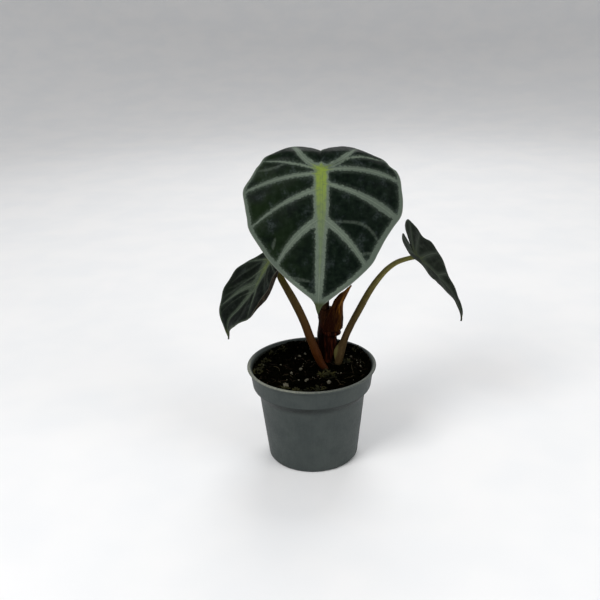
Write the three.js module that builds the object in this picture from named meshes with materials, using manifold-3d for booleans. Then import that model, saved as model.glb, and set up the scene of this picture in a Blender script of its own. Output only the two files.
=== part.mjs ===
// Potted alocasia with dark, silver-veined leaves in a small round nursery pot.
// Millimetres, +Z up. The origin is the centre of the pot's underside. The plant faces -Y.

import * as THREE from 'three';
import { mergeVertices } from 'three/addons/utils/BufferGeometryUtils.js';
import Module from 'manifold-3d';

const wasm = await Module();
wasm.setup();

// Gap kept between pieces that touch, and the distance under which vertices count as one.
const GAP = 0.3;
const WELD = 1e-4;

// Pot: a thin moulded cup with a deep collar, a chamfer under it and a raised, drained ring below.
const POT_HEIGHT = 46;
const RIM_RADIUS = 30;
const COLLAR_TOP_RADIUS = 28.7;
const COLLAR_LOW_RADIUS = 27.4;
const COLLAR_DEPTH = 11.4;
const CHAMFER_DEPTH = 3.6;
const BODY_TOP_RADIUS = 24.6;
const BASE_RADIUS = 21.2;
const WALL = 1.1;
const LIP = 1.0;
const FOOT_RECESS = 1.4;
const PAD_RADIUS = 8.8;
const FOOT_INNER_RADIUS = 17;
const DRAIN_COUNT = 6;
const DRAIN_RADIUS = 2;
const DRAIN_CIRCLE = 12.9;
const POT_SEGMENTS = 40;

// Soil: fills the pot to a little under the rim, crumbly on top, heaped at the stems, higher at +X.
const SOIL_LEVEL = POT_HEIGHT - 2;
const SOIL_SLOPE = 0.03;
const SOIL_GRAIN = 0.45;
const SOIL_HEAP = 0.9;
const SOIL_HEAP_SPREAD = 8;
const SOIL_SEGMENTS = 36;
const SOIL_TOP_RINGS = 8;

// Where the stems enter the soil, how thick they are there and how deep they go.
const BUNDLE_FOOT = { x: 7.6, y: 5.2, radius: 3.9, depth: 10 };
const LEFT_FOOT = { x: 7.8, y: -1.6, radius: 1.75, depth: 6 };
const RIGHT_FOOT = { x: 13.2, y: 0.8, radius: 1.75, depth: 6 };

// Central bundle of old leaf sheaths. The main petiole stands in its top.
const BUNDLE_TOP = 71;
const BUNDLE_SOCKET_DEPTH = 8;
const MAIN_PETIOLE_RADIUS = 2;
const BUNDLE_SIDES = 20;

// Dry, papery sheath that peels away from the bundle's right side.
const DRY_SHEATH_THICKNESS = 0.7;
const DRY_SHEATH_ROWS = 12;
const DRY_SHEATH_COLUMNS = 12;

const PETIOLE_SIDES = 12;

// Leaf blades.
const BLADE_THICKNESS = 0.8;
const MARGIN_THICKNESS = 0.65;
// Places of the mesh rows between two side veins, closer together beside the veins.
const ROWS_BETWEEN_VEINS = [0, 0.12, 0.36, 0.64, 0.88];
const ROWS_TO_TIP = [0, 0.08, 0.22, 0.38, 0.54, 0.7, 0.84, 0.94];

const vec = (x, y, z) => new THREE.Vector3(x, y, z);

/** Linear interpolation through [position, value] pairs. */
function through(pairs, position) {
  let k = 1;
  while (k < pairs.length - 1 && position > pairs[k][0]) k += 1;
  const [x0, y0] = pairs[k - 1];
  const [x1, y1] = pairs[k];
  const share = THREE.MathUtils.clamp((position - x0) / (x1 - x0), 0, 1);
  return y0 + (y1 - y0) * share;
}

/** Indexed geometry from points and corner numbers, with doubled points merged. */
function closedGeometry(points, corners) {
  const raw = new THREE.BufferGeometry();
  raw.setAttribute('position', new THREE.Float32BufferAttribute(points.flatMap((p) => p.toArray()), 3));
  raw.setIndex(corners);
  const merged = mergeVertices(raw, WELD);
  const kept = [];
  const index = merged.index.array;
  for (let i = 0; i < index.length; i += 3) {
    const [a, b, c] = index.slice(i, i + 3);
    if (a !== b && b !== c && c !== a) kept.push(a, b, c);
  }
  merged.setIndex(kept);
  return merged;
}

/** Solid inside a stack of rings, each of them anticlockwise as seen from the last ring's end. */
function ringStack(rings) {
  const count = rings[0].length;
  const points = rings.flat();
  const corners = [];
  for (let level = 0; level < rings.length - 1; level += 1) {
    for (let k = 0; k < count; k += 1) {
      const a = level * count + k;
      const b = level * count + (k + 1) % count;
      corners.push(a, b, b + count, a, b + count, a + count);
    }
  }
  const middle = (ring) => ring.reduce((sum, p) => sum.add(p), vec(0, 0, 0)).divideScalar(count);
  const first = points.push(middle(rings[0])) - 1;
  const last = points.push(middle(rings.at(-1))) - 1;
  const lastRing = (rings.length - 1) * count;
  for (let k = 0; k < count; k += 1) {
    const next = (k + 1) % count;
    corners.push(first, next, k);
    corners.push(last, lastRing + k, lastRing + next);
  }
  return closedGeometry(points, corners);
}

/** Thin solid between two grids of points. The front faces along (down the rows) x (across them). */
function sheet(front, back) {
  const rows = front.length;
  const columns = front[0].length;
  const points = [...front.flat(), ...back.flat()];
  const behind = rows * columns;
  const at = (row, column) => row * columns + column;
  const corners = [];
  const quad = (a, b, c, d) => corners.push(a, b, c, a, c, d);
  for (let i = 0; i < rows - 1; i += 1) {
    for (let j = 0; j < columns - 1; j += 1) {
      const [a, b, c, d] = [at(i, j), at(i + 1, j), at(i + 1, j + 1), at(i, j + 1)];
      quad(a, b, c, d);
      corners.push(a + behind, c + behind, b + behind, a + behind, d + behind, c + behind);
    }
    const [l0, l1] = [at(i, 0), at(i + 1, 0)];
    const [r0, r1] = [at(i, columns - 1), at(i + 1, columns - 1)];
    quad(l1, l0, l0 + behind, l1 + behind);
    quad(r0, r1, r1 + behind, r0 + behind);
  }
  for (let j = 0; j < columns - 1; j += 1) {
    const [t0, t1] = [at(0, j), at(0, j + 1)];
    const [b0, b1] = [at(rows - 1, j), at(rows - 1, j + 1)];
    quad(t0, t1, t1 + behind, t0 + behind);
    quad(b1, b0, b0 + behind, b1 + behind);
  }
  return closedGeometry(points, corners);
}

/** Manifold solid of a closed geometry, for cutting. */
function toSolid(geometry) {
  const bare = geometry.clone();
  bare.deleteAttribute('normal');
  bare.deleteAttribute('uv');
  const merged = mergeVertices(bare, WELD);
  return new wasm.Manifold(new wasm.Mesh({
    numProp: 3,
    vertProperties: new Float32Array(merged.attributes.position.array),
    triVerts: new Uint32Array(merged.index.array),
  }));
}

/** Geometry of a manifold solid. */
function fromSolid(solid) {
  const mesh = solid.getMesh();
  const geometry = new THREE.BufferGeometry();
  geometry.setAttribute('position', new THREE.BufferAttribute(mesh.vertProperties, 3));
  geometry.setIndex(new THREE.BufferAttribute(mesh.triVerts, 1));
  return geometry;
}

/** Upright cylinder between two heights. */
function post(x, y, radius, low, high, sides) {
  const geometry = new THREE.CylinderGeometry(radius, radius, high - low, sides);
  geometry.rotateX(Math.PI / 2);
  geometry.translate(x, y, (low + high) / 2);
  return geometry;
}

function mesh(name, geometry, color, roughness) {
  const material = new THREE.MeshStandardMaterial({ color, roughness, metalness: 0 });
  const piece = new THREE.Mesh(geometry, material);
  piece.name = name;
  return piece;
}

const plant = new THREE.Group();

// Pot

const collarLow = POT_HEIGHT - COLLAR_DEPTH;
const bodyTop = collarLow - CHAMFER_DEPTH;
const floorTop = FOOT_RECESS + WALL;
// Inside of the wall from the floor's edge to the lip, as [radius, height].
const potInside = [
  [BASE_RADIUS - WALL - 0.3, WALL],
  [BASE_RADIUS - WALL, WALL + 0.8],
  [BODY_TOP_RADIUS - WALL, bodyTop + 0.4],
  [COLLAR_LOW_RADIUS - WALL, collarLow + 0.4],
  [COLLAR_TOP_RADIUS - WALL, POT_HEIGHT - LIP - 0.3],
];

function potGeometry() {
  const outline = [
    [0, 0],
    [PAD_RADIUS, 0],
    [PAD_RADIUS + 0.7, FOOT_RECESS],
    [FOOT_INNER_RADIUS - 0.7, FOOT_RECESS],
    [FOOT_INNER_RADIUS, 0],
    [BASE_RADIUS - 0.8, 0],
    [BASE_RADIUS, 0.8],
    [BODY_TOP_RADIUS, bodyTop],
    [COLLAR_LOW_RADIUS - 0.15, collarLow - 0.2],
    [COLLAR_LOW_RADIUS, collarLow + 0.1],
    [COLLAR_TOP_RADIUS, POT_HEIGHT - LIP - 0.5],
    [RIM_RADIUS - 0.15, POT_HEIGHT - LIP],
    [RIM_RADIUS, POT_HEIGHT - LIP / 2],
    [RIM_RADIUS - 0.3, POT_HEIGHT],
    [RIM_RADIUS - 1.3, POT_HEIGHT],
    ...potInside.toReversed(),
    [FOOT_INNER_RADIUS + 0.8, WALL],
    [FOOT_INNER_RADIUS, floorTop],
    [PAD_RADIUS, floorTop],
    [PAD_RADIUS - 0.8, WALL],
    [0, WALL],
  ];
  const turned = new THREE.LatheGeometry(outline.map(([r, z]) => new THREE.Vector2(r, z)), POT_SEGMENTS);
  turned.rotateX(Math.PI / 2);
  let solid = toSolid(turned);
  for (let k = 0; k < DRAIN_COUNT; k += 1) {
    const angle = (2 * Math.PI * (k + 0.5)) / DRAIN_COUNT;
    const [x, y] = [DRAIN_CIRCLE * Math.cos(angle), DRAIN_CIRCLE * Math.sin(angle)];
    solid = solid.subtract(toSolid(post(x, y, DRAIN_RADIUS, 0, floorTop + 1, 12)));
  }
  return fromSolid(solid);
}
plant.add(mesh('pot', potGeometry(), 0x4d5759, 0.55));

// Soil

/** Crumbs on the soil and the heap round the stems, as a height over the soil's level. */
function soilRelief(x, y) {
  const crumbs = Math.sin(1.9 * x + 0.7 * y) + Math.sin(0.8 * x - 2.1 * y + 1.3) + Math.sin(1.1 * x + 1.6 * y + 4);
  const offset = Math.hypot(x - BUNDLE_FOOT.x, y - BUNDLE_FOOT.y) / SOIL_HEAP_SPREAD;
  return SOIL_SLOPE * x + SOIL_GRAIN * crumbs / 2 + SOIL_HEAP * Math.exp(-offset * offset);
}

function soilGeometry() {
  const topRadius = COLLAR_TOP_RADIUS - WALL - GAP - 0.2;
  const circle = (radius, height) => Array.from({ length: SOIL_SEGMENTS }, (_, k) => {
    const angle = (2 * Math.PI * k) / SOIL_SEGMENTS;
    const [x, y] = [radius * Math.cos(angle), radius * Math.sin(angle)];
    return vec(x, y, typeof height === 'function' ? height(x, y) : height);
  });
  const rings = [
    circle(PAD_RADIUS - 1.1, WALL + GAP),
    circle(PAD_RADIUS - 0.2, floorTop + GAP),
    circle(FOOT_INNER_RADIUS + 0.2, floorTop + GAP),
    circle(FOOT_INNER_RADIUS + 1.1, WALL + GAP),
    ...potInside.slice(0, -1).map(([r, z]) => circle(r - GAP, z + (z < floorTop ? GAP : 0))),
  ];
  for (let k = SOIL_TOP_RINGS; k > 0; k -= 1) {
    const radius = (topRadius * k) / SOIL_TOP_RINGS;
    rings.push(circle(radius, (x, y) => SOIL_LEVEL + soilRelief(x, y) - (k === SOIL_TOP_RINGS ? 0.6 : 0)));
  }
  let solid = toSolid(ringStack(rings));
  for (const foot of [BUNDLE_FOOT, LEFT_FOOT, RIGHT_FOOT]) {
    const low = SOIL_LEVEL - foot.depth - GAP;
    solid = solid.subtract(toSolid(post(foot.x, foot.y, foot.radius + GAP, low, POT_HEIGHT + 6, 20)));
  }
  return fromSolid(solid);
}
plant.add(mesh('soil', soilGeometry(), 0x1c1612, 0.95));

// Bundle of old sheaths

const bundleEnd = SOIL_LEVEL - BUNDLE_FOOT.depth;
const clearOfSoil = SOIL_LEVEL + 2.6;
// Centre and radius up the bundle, as [height, x, y, radius].
const bundleSections = [
  [bundleEnd, BUNDLE_FOOT.x, BUNDLE_FOOT.y, BUNDLE_FOOT.radius - 0.8],
  [bundleEnd + 1.5, BUNDLE_FOOT.x, BUNDLE_FOOT.y, BUNDLE_FOOT.radius],
  [clearOfSoil, BUNDLE_FOOT.x, BUNDLE_FOOT.y, BUNDLE_FOOT.radius],
  [52, 7.5, 5.4, 4.3],
  [57.5, 7.5, 5.4, 4.6],
  [63, 8, 5.2, 4.4],
  [68, 7.8, 5.2, 3.9],
  [BUNDLE_TOP, 7.5, 5.2, 3.5],
];
const SHEATH_EDGE_HEIGHT = 0.4;
const COLLAR_RIDGE = { height: 59.6, spread: 1.5, rise: 0.75 };

/** Middle of the bundle at a height. */
function bundleCentre(z) {
  return vec(through(bundleSections.map(([h, x]) => [h, x]), z), through(bundleSections.map(([h, , y]) => [h, y]), z), z);
}

/** Radius of the bundle: wrapped sheaths end in an oblique edge, and a collar bulges to the right. */
function bundleRadius(z, angle) {
  const plain = through(bundleSections.map(([h, , , r]) => [h, r]), z);
  const above = THREE.MathUtils.smoothstep(z, clearOfSoil, clearOfSoil + 4);
  const turn = (angle - 0.045 * z * Math.PI) / (2 * Math.PI);
  const wrapped = SHEATH_EDGE_HEIGHT * (turn - Math.floor(turn) - 0.5);
  const lumps = 0.12 * Math.sin(3 * angle + 0.5 * z);
  const up = (z - COLLAR_RIDGE.height + 0.8 * Math.cos(angle)) / COLLAR_RIDGE.spread;
  const collar = COLLAR_RIDGE.rise * Math.exp(-up * up) * (0.55 + 0.45 * Math.cos(angle));
  return plain + above * (wrapped + lumps) + collar;
}

function bundleGeometry() {
  const heights = [
    bundleEnd, bundleEnd + 1.5, clearOfSoil, 49, 51, 53, 55, 57, 58.2, 59, 59.8, 60.6, 61.6, 63.5, 65.5, 67.5,
    69.5, BUNDLE_TOP,
  ];
  const rings = heights.map((z) => Array.from({ length: BUNDLE_SIDES }, (_, k) => {
    const angle = (2 * Math.PI * k) / BUNDLE_SIDES;
    const radius = bundleRadius(z, angle);
    return bundleCentre(z).add(vec(radius * Math.cos(angle), radius * Math.sin(angle), 0));
  }));
  const [foot] = mainPetiolePath;
  const socket = post(foot.x, foot.y, MAIN_PETIOLE_RADIUS + GAP, BUNDLE_TOP - BUNDLE_SOCKET_DEPTH, BUNDLE_TOP + 5, 16);
  return fromSolid(toSolid(ringStack(rings)).subtract(toSolid(socket)));
}

// Petioles

/**
 * Stem along hand-set points. radii is [share of length, radius] pairs. side fixes which way its
 * sections face. The upper end is cut to lie flat under a blade with the given normal. wing, if
 * given, widens the stem towards side near its foot.
 */
function stemGeometry(path, radii, side, endNormal, wing) {
  const curve = new THREE.CatmullRomCurve3(path, false, 'centripetal');
  const steps = Math.round(curve.getLength() / 3.2);
  const rings = [];
  for (let i = 0; i <= steps; i += 1) {
    const share = i / steps;
    const centre = curve.getPointAt(share);
    const tangent = curve.getTangentAt(share);
    const across = side.clone().addScaledVector(tangent, -side.dot(tangent)).normalize();
    const other = tangent.clone().cross(across);
    const radius = through(radii, share);
    const extra = wing ? wing.width * Math.exp(-(((share - wing.at) / wing.spread) ** 2)) : 0;
    rings.push(Array.from({ length: PETIOLE_SIDES }, (_, k) => {
      const angle = (2 * Math.PI * k) / PETIOLE_SIDES;
      const reach = radius + extra * Math.max(0, Math.cos(angle)) ** 2;
      return centre.clone()
        .addScaledVector(across, reach * Math.cos(angle))
        .addScaledVector(other, radius * Math.sin(angle));
    }));
  }
  const end = path.at(-1);
  const endTangent = curve.getTangentAt(1);
  for (const point of rings.at(-1)) {
    const depth = end.clone().sub(point).dot(endNormal) / endTangent.dot(endNormal);
    point.addScaledVector(endTangent, depth);
  }
  return ringStack(rings);
}

/** Straight, upright part of a stem in the soil, as two points. */
function buriedPart(foot) {
  return [vec(foot.x, foot.y, SOIL_LEVEL - foot.depth), vec(foot.x, foot.y, SOIL_LEVEL + 0.5)];
}

// Leaves

/**
 * A blade is laid out flat first: a is the distance from the midrib, b the distance from the petiole
 * towards the tip. Each half's outline runs from the notch to the tip as [a, b]. Each side vein is
 * [b where it leaves the midrib, share of the outline where it ends, arch]. The flat blade is then
 * bent along b, folded along the midrib, quilted between its veins and set at the petiole's end.
 */
class Blade {
  constructor(spec) {
    Object.assign(this, spec);
    this.along = this.direction.clone().normalize();
    this.normal = this.facing.clone().addScaledVector(this.along, -this.facing.dot(this.along)).normalize();
    this.across = this.normal.clone().cross(this.along);
    this.length = this.leftOutline.at(-1)[1];
    this.ribTable = this.bendTable();
  }

  /** Turn of the blade at b: slow towards the tip, quick over the lobes. */
  turnAt(b) {
    if (b < 0) return -this.lobeBend * (1 - Math.exp(b / this.lobeReach));
    return this.bend * b + this.tipBend * Math.max(0, b - this.tipBendFrom);
  }

  /** Running sums of the bent midrib, as [b, distance along, rise] every half millimetre. */
  bendTable() {
    const step = 0.5;
    const walk = (sign, reach) => {
      const list = [];
      let [forward, rise] = [0, 0];
      for (let s = step / 2; s < reach; s += step) {
        const turn = this.turnAt(sign * s);
        forward += sign * step * Math.cos(turn);
        rise -= sign * step * Math.sin(turn);
        list.push([sign * (s + step / 2), forward, rise]);
      }
      return list;
    };
    return [...walk(-1, 20).reverse(), [0, 0, 0], ...walk(1, this.length + 1)];
  }

  /** Point of the blade for flat place (a, b), lifted by h off the blade. */
  place(a, b, h) {
    const forward = through(this.ribTable.map(([s, f]) => [s, f]), b);
    const rise = through(this.ribTable.map(([s, , r]) => [s, r]), b);
    const turn = this.turnAt(b);
    const out = Math.abs(a);
    const fold = a > 0 ? this.rightFold : this.leftFold;
    const spread = Math.sign(a) * (Math.sin(fold + this.curl * out) - Math.sin(fold)) / this.curl;
    const lift = (Math.cos(fold) - Math.cos(fold + this.curl * out)) / this.curl;
    const sway = this.sway.by * Math.exp(-(((b - this.sway.at) / this.sway.spread) ** 2));
    const up = this.normal.clone().multiplyScalar(Math.cos(turn)).addScaledVector(this.along, Math.sin(turn));
    const lobe = a > 0 ? this.lobeLift.right : this.lobeLift.left;
    const raised = lobe * Math.exp(-(((out - this.lobeLift.at) / this.lobeLift.spread) ** 2))
      * THREE.MathUtils.clamp(-b / 8, 0, 1);
    const drooped = this.shoulderDroop * (out / 30) ** 2 * Math.max(0, 6 - b);
    return this.base.clone()
      .addScaledVector(this.along, forward)
      .addScaledVector(this.normal, rise)
      .addScaledVector(this.across, spread + sway)
      .addScaledVector(up, lift + raised - drooped + h);
  }

  /** Mesh rows of one half: where each leaves the midrib, where it meets the margin, and its veins' pull. */
  rows(outline, veins) {
    const notch = outline[0][1];
    const stops = [[notch, 0, 0], ...veins, [this.length, 1, 0]];
    const curve = new THREE.SplineCurve(outline.map(([a, b]) => new THREE.Vector2(a, b)));
    const list = [];
    for (let k = 0; k < stops.length - 1; k += 1) {
      const shares = k === stops.length - 2 ? ROWS_TO_TIP : ROWS_BETWEEN_VEINS;
      for (const share of shares) {
        const [start, end, arch] = stops[k].map((value, n) => value + (stops[k + 1][n] - value) * share);
        list.push({ start, margin: curve.getPointAt(end), arch, share, isVein: share === 0 && k > 0 });
      }
    }
    list.push({ start: this.length, margin: curve.getPointAt(1), arch: 0, share: 0, isVein: false });
    return list;
  }

  /** Flat place on a row at share q of the way from the midrib to the margin. */
  flatPlace(row, q) {
    const start = new THREE.Vector2(0, row.start);
    const run = row.margin.clone().sub(start);
    const towardsBase = new THREE.Vector2(-run.y, run.x).normalize();
    if (towardsBase.y > 0) towardsBase.negate();
    const control = start.clone().addScaledVector(run, 0.5).addScaledVector(towardsBase, row.arch * run.length());
    return start.multiplyScalar((1 - q) ** 2)
      .addScaledVector(control, 2 * q * (1 - q))
      .addScaledVector(row.margin, q * q);
  }

  /** Front and back points of the blade at a row and q. side is -1 on the left half, 1 on the right. */
  pointPair(row, q, side, ribStart) {
    const flat = q === 0 ? new THREE.Vector2(0, ribStart) : this.flatPlace(row, q);
    const [a, b] = [side * flat.x, flat.y];
    const panel = this.quilt * Math.sin(Math.PI * row.share) * Math.sin(Math.PI * q ** 0.8);
    const wave = this.wave.rise * q ** 3 * Math.sin(this.wave.turns * b + side);
    const h = panel + wave;
    const nearTip = 1 - THREE.MathUtils.clamp(b / this.length, 0, 1);
    const midrib = this.rib * (0.25 + 0.75 * nearTip) * Math.max(0, 1 - Math.abs(a) / this.ribWidth);
    const sideRib = row.isVein ? this.sideRib * (1 - q) * Math.min(1, q * 8) : 0;
    const blade = BLADE_THICKNESS + (MARGIN_THICKNESS - BLADE_THICKNESS) * q;
    return [this.place(a, b, h), this.place(a, b, h - blade - Math.max(midrib, sideRib))];
  }

  geometry() {
    const left = this.rows(this.leftOutline, this.leftVeins);
    const right = this.rows(this.rightOutline, this.rightVeins);
    const columns = this.columns;
    const front = [];
    const back = [];
    left.forEach((row, i) => {
      const ribStart = (row.start + right[i].start) / 2;
      const pairs = [
        ...columns.slice(1).reverse().map((q) => this.pointPair(row, q, -1, ribStart)),
        ...columns.map((q) => this.pointPair(right[i], q, 1, ribStart)),
      ];
      front.push(pairs.map((pair) => pair[0]));
      back.push(pairs.map((pair) => pair[1]));
    });
    return sheet(front, back);
  }

  /** Centre of the seat for the petiole under the midrib. */
  seat() {
    return this.base.clone().addScaledVector(this.normal, -(BLADE_THICKNESS + this.rib + GAP));
  }
}

const NO_SWAY = { by: 0, at: 0, spread: 1 };
const NO_LOBE_LIFT = { left: 0, right: 0, at: 0, spread: 1 };

const mainLeaf = new Blade({
  base: vec(5.9, -4, 138.1),
  direction: vec(-0.045, -0.36, -0.93),
  facing: vec(0, -0.93, 0.36),
  leftOutline: [
    [0, -8], [3, -12.5], [9, -16], [16, -15], [21.5, -10.5], [26.4, -3], [31.2, 5], [32.9, 13], [31.4, 21.5],
    [26.8, 31.5], [20, 40.5], [12.5, 48.5], [5.5, 54.5], [1.5, 57.5], [0, 60.5],
  ],
  rightOutline: [
    [0, -8], [3, -12.5], [9, -16], [16.5, -15], [24, -10.5], [30.2, -3], [34, 6], [34.8, 16], [32.6, 24],
    [28.2, 32], [22.8, 39.5], [15.8, 47], [8, 53.5], [2, 57.3], [0, 60.5],
  ],
  leftVeins: [[-1.6, 0.185, -0.2], [-0.6, 0.3, 0.03], [2, 0.445, 0.01], [8.7, 0.58, 0.05], [21.2, 0.755, 0.05]],
  rightVeins: [[-1.6, 0.185, -0.2], [-1.2, 0.29, 0.03], [-0.4, 0.385, 0.05], [5.8, 0.54, 0.1], [20.5, 0.77, 0.14]],
  columns: [0, 0.05, 0.11, 0.2, 0.32, 0.46, 0.6, 0.74, 0.88, 1],
  bend: 0.002,
  tipBend: 0,
  tipBendFrom: 50,
  lobeBend: 2.2,
  lobeReach: 16,
  lobeLift: { left: 1.2, right: 2.2, at: 11, spread: 6 },
  leftFold: -0.05,
  rightFold: -0.05,
  curl: -0.004,
  shoulderDroop: 0.08,
  sway: NO_SWAY,
  quilt: 0.55,
  wave: { rise: 0.25, turns: 0.55 },
  rib: 1.1,
  ribWidth: 1.9,
  sideRib: 0.5,
});

const leftLeaf = new Blade({
  base: vec(-16.4, 0.5, 97.5),
  direction: vec(-0.62, -0.22, -0.75),
  facing: vec(-0.66, -0.42, 0.62),
  leftOutline: [
    [0, -2], [2, -4.2], [3.8, -5], [5.4, -4.2], [6.9, -1.5], [10, 5.5], [13.6, 13], [15.6, 21], [15, 27],
    [12.4, 32.5], [7.2, 36.8], [2.4, 38.4], [0, 42],
  ],
  rightOutline: [
    [0, -2], [2, -5], [5, -7], [8, -6.5], [11, -3], [13, 5], [14.4, 13], [15, 20], [14, 26], [10.4, 32],
    [5.4, 36], [1.8, 38], [0, 42],
  ],
  leftVeins: [[-0.8, 0.12, 0], [0.8, 0.33, 0.05], [6, 0.56, 0.1], [15, 0.74, 0.12]],
  rightVeins: [[-0.8, 0.12, 0], [0.8, 0.33, 0.05], [6, 0.56, 0.1], [15, 0.74, 0.12]],
  columns: [0, 0.08, 0.2, 0.38, 0.58, 0.8, 1],
  bend: 0.008,
  tipBend: 0.03,
  tipBendFrom: 34,
  lobeBend: 1.6,
  lobeReach: 7,
  lobeLift: NO_LOBE_LIFT,
  leftFold: 0.25,
  rightFold: 0.25,
  curl: -0.012,
  shoulderDroop: 0,
  sway: { by: -2.6, at: 26, spread: 9 },
  quilt: 0.3,
  wave: { rise: 0.25, turns: 0.6 },
  rib: 0.7,
  ribWidth: 1.3,
  sideRib: 0.35,
});

const rightLeaf = new Blade({
  base: vec(47.6, -0.2, 97),
  direction: vec(0.74, -0.25, -0.6),
  facing: vec(0.6, -0.3, 0.74),
  leftOutline: [
    [0, -2.5], [2.5, -8], [5.6, -13], [8.2, -12], [10, -5], [10.4, 3], [10, 10], [8.8, 17], [6.2, 23],
    [3.3, 28], [1.4, 31.5], [0.8, 33], [0, 37],
  ],
  rightOutline: [
    [0, -2.5], [2.5, -9], [6, -15.5], [9.2, -14.5], [12.4, -6], [13.5, 2], [12.5, 9], [9.9, 16.5], [6.5, 23],
    [4, 28], [1.7, 31.5], [0.8, 33], [0, 37],
  ],
  leftVeins: [[-0.8, 0.2, 0], [0.8, 0.38, 0.05], [5, 0.56, 0.08], [14, 0.74, 0.08]],
  rightVeins: [[-0.8, 0.2, 0], [0.8, 0.38, 0.05], [5, 0.56, 0.08], [14, 0.74, 0.08]],
  columns: [0, 0.08, 0.2, 0.38, 0.58, 0.8, 1],
  bend: 0.014,
  tipBend: 0.1,
  tipBendFrom: 31,
  lobeBend: -0.6,
  lobeReach: 3,
  lobeLift: NO_LOBE_LIFT,
  leftFold: 0.33,
  rightFold: 0.2,
  curl: -0.005,
  shoulderDroop: 0,
  sway: NO_SWAY,
  quilt: 0.3,
  wave: { rise: 0.2, turns: 0.6 },
  rib: 0.7,
  ribWidth: 1.3,
  sideRib: 0.35,
});

const LEAF_GREEN = 0x1d2b22;
plant.add(mesh('leaf_main', mainLeaf.geometry(), LEAF_GREEN, 0.45));
plant.add(mesh('leaf_left', leftLeaf.geometry(), LEAF_GREEN, 0.45));
plant.add(mesh('leaf_right', rightLeaf.geometry(), LEAF_GREEN, 0.45));

const mainPetiolePath = [
  vec(6.9, 5.2, BUNDLE_TOP - BUNDLE_SOCKET_DEPTH + GAP),
  vec(6.9, 5.2, BUNDLE_TOP),
  vec(6.7, 5.4, 82),
  vec(6.5, 6.2, 98),
  vec(6.4, 7, 114),
  vec(6.3, 6.8, 125),
  vec(6.1, 4.6, 132.2),
  mainLeaf.seat().addScaledVector(mainLeaf.normal, -2.5),
  mainLeaf.seat(),
];
const leftPetiolePath = [
  ...buriedPart(LEFT_FOOT),
  vec(6.3, -2.4, 47.7),
  vec(2.6, -3, 53.2),
  vec(-1, -3, 60.4),
  vec(-3.4, -2.8, 67.8),
  vec(-6, -2.3, 75.5),
  vec(-9.1, -1.2, 83),
  vec(-12, 0.8, 89.8),
  leftLeaf.seat().addScaledVector(leftLeaf.normal, -2.5),
  leftLeaf.seat(),
];
const rightPetiolePath = [
  ...buriedPart(RIGHT_FOOT),
  vec(13.5, 1.6, 47.5),
  vec(14.4, 2.6, 52.4),
  vec(16.4, 2.6, 58.8),
  vec(19.2, 2, 65.3),
  vec(23.1, 1.5, 73.2),
  vec(26.4, 1, 79.7),
  vec(30.3, 0.5, 86),
  vec(34.7, 0, 91.3),
  vec(38.9, 0, 94.3),
  vec(43, 0.3, 95.6),
  rightLeaf.seat(),
];
const FACING_FRONT = vec(0, -1, 0);
const FACING_RIGHT = vec(1, 0, 0);

plant.add(mesh('sheath_bundle', bundleGeometry(), 0x35201a, 0.6));
plant.add(mesh('petiole_main', stemGeometry(
  mainPetiolePath, [[0, MAIN_PETIOLE_RADIUS], [0.35, 1.9], [1, 1.3]], FACING_RIGHT, mainLeaf.normal,
), 0x5b4a2c, 0.5));
plant.add(mesh('petiole_left', stemGeometry(
  leftPetiolePath, [[0, LEFT_FOOT.radius], [0.09, LEFT_FOOT.radius], [0.2, 2], [0.5, 1.6], [1, 1.2]], FACING_FRONT,
  leftLeaf.normal,
), 0x6b4526, 0.5));
plant.add(mesh('petiole_right', stemGeometry(
  rightPetiolePath, [[0, RIGHT_FOOT.radius], [0.07, RIGHT_FOOT.radius], [0.15, 1.8], [0.45, 1.45], [1, 0.9]],
  FACING_RIGHT.clone().negate(), rightLeaf.normal, { width: 1.1, at: 0.15, spread: 0.05 },
), 0x6a5f38, 0.5));

// Dry sheath

// The peeling sheet up its length, as [share, x, y, height, radius, half of its angle in degrees].
const drySheathSections = [
  [0, 8, 5.2, 62.2, 5.35, 88],
  [0.2, 8, 5.2, 66, 5.15, 84],
  [0.42, 9, 5, 70.4, 5, 74],
  [0.6, 9.8, 4.8, 74, 4.9, 66],
  [0.8, 11.8, 4.5, 78.6, 4.4, 58],
  [0.92, 14, 4.2, 81.2, 3.4, 46],
  [1, 16.4, 4, 82.8, 2.2, 26],
];
const DRY_SHEATH_FACING = THREE.MathUtils.degToRad(-28);

function drySheathGeometry() {
  const column = (n, share) => through(drySheathSections.map((section) => [section[0], section[n]]), share);
  const outer = [];
  const inner = [];
  for (let i = 0; i <= DRY_SHEATH_ROWS; i += 1) {
    const share = i / DRY_SHEATH_ROWS;
    const centre = vec(column(1, share), column(2, share), column(3, share));
    const half = THREE.MathUtils.degToRad(column(5, share));
    const arc = (radius) => Array.from({ length: DRY_SHEATH_COLUMNS + 1 }, (_, j) => {
      const angle = DRY_SHEATH_FACING + half * ((2 * j) / DRY_SHEATH_COLUMNS - 1);
      const fold = 0.18 * Math.sin(5 * angle + 9 * share) * share;
      return centre.clone().add(vec((radius + fold) * Math.cos(angle), (radius + fold) * Math.sin(angle), 0));
    });
    outer.push(arc(column(4, share) + DRY_SHEATH_THICKNESS));
    inner.push(arc(column(4, share)));
  }
  return sheet(outer.reverse(), inner.reverse());
}
plant.add(mesh('dry_sheath', drySheathGeometry(), 0x7a4520, 0.6));

export default plant;
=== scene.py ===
# %% [markdown]
# # A small potted alocasia
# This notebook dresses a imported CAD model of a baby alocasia: a plastic nursery pot, dark soil, an old
# sheathed stem, three leaf stalks and three dark leaves with silvery veins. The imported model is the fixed
# frame. Every piece here is worked out from numbers in millimetres, much as in the CAD source but with
# finer surfaces, and takes the place of its CAD node.

# %% Load the frame
import math
from types import SimpleNamespace

import bmesh
import bpy
import numpy as np
from mathutils import Matrix


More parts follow.
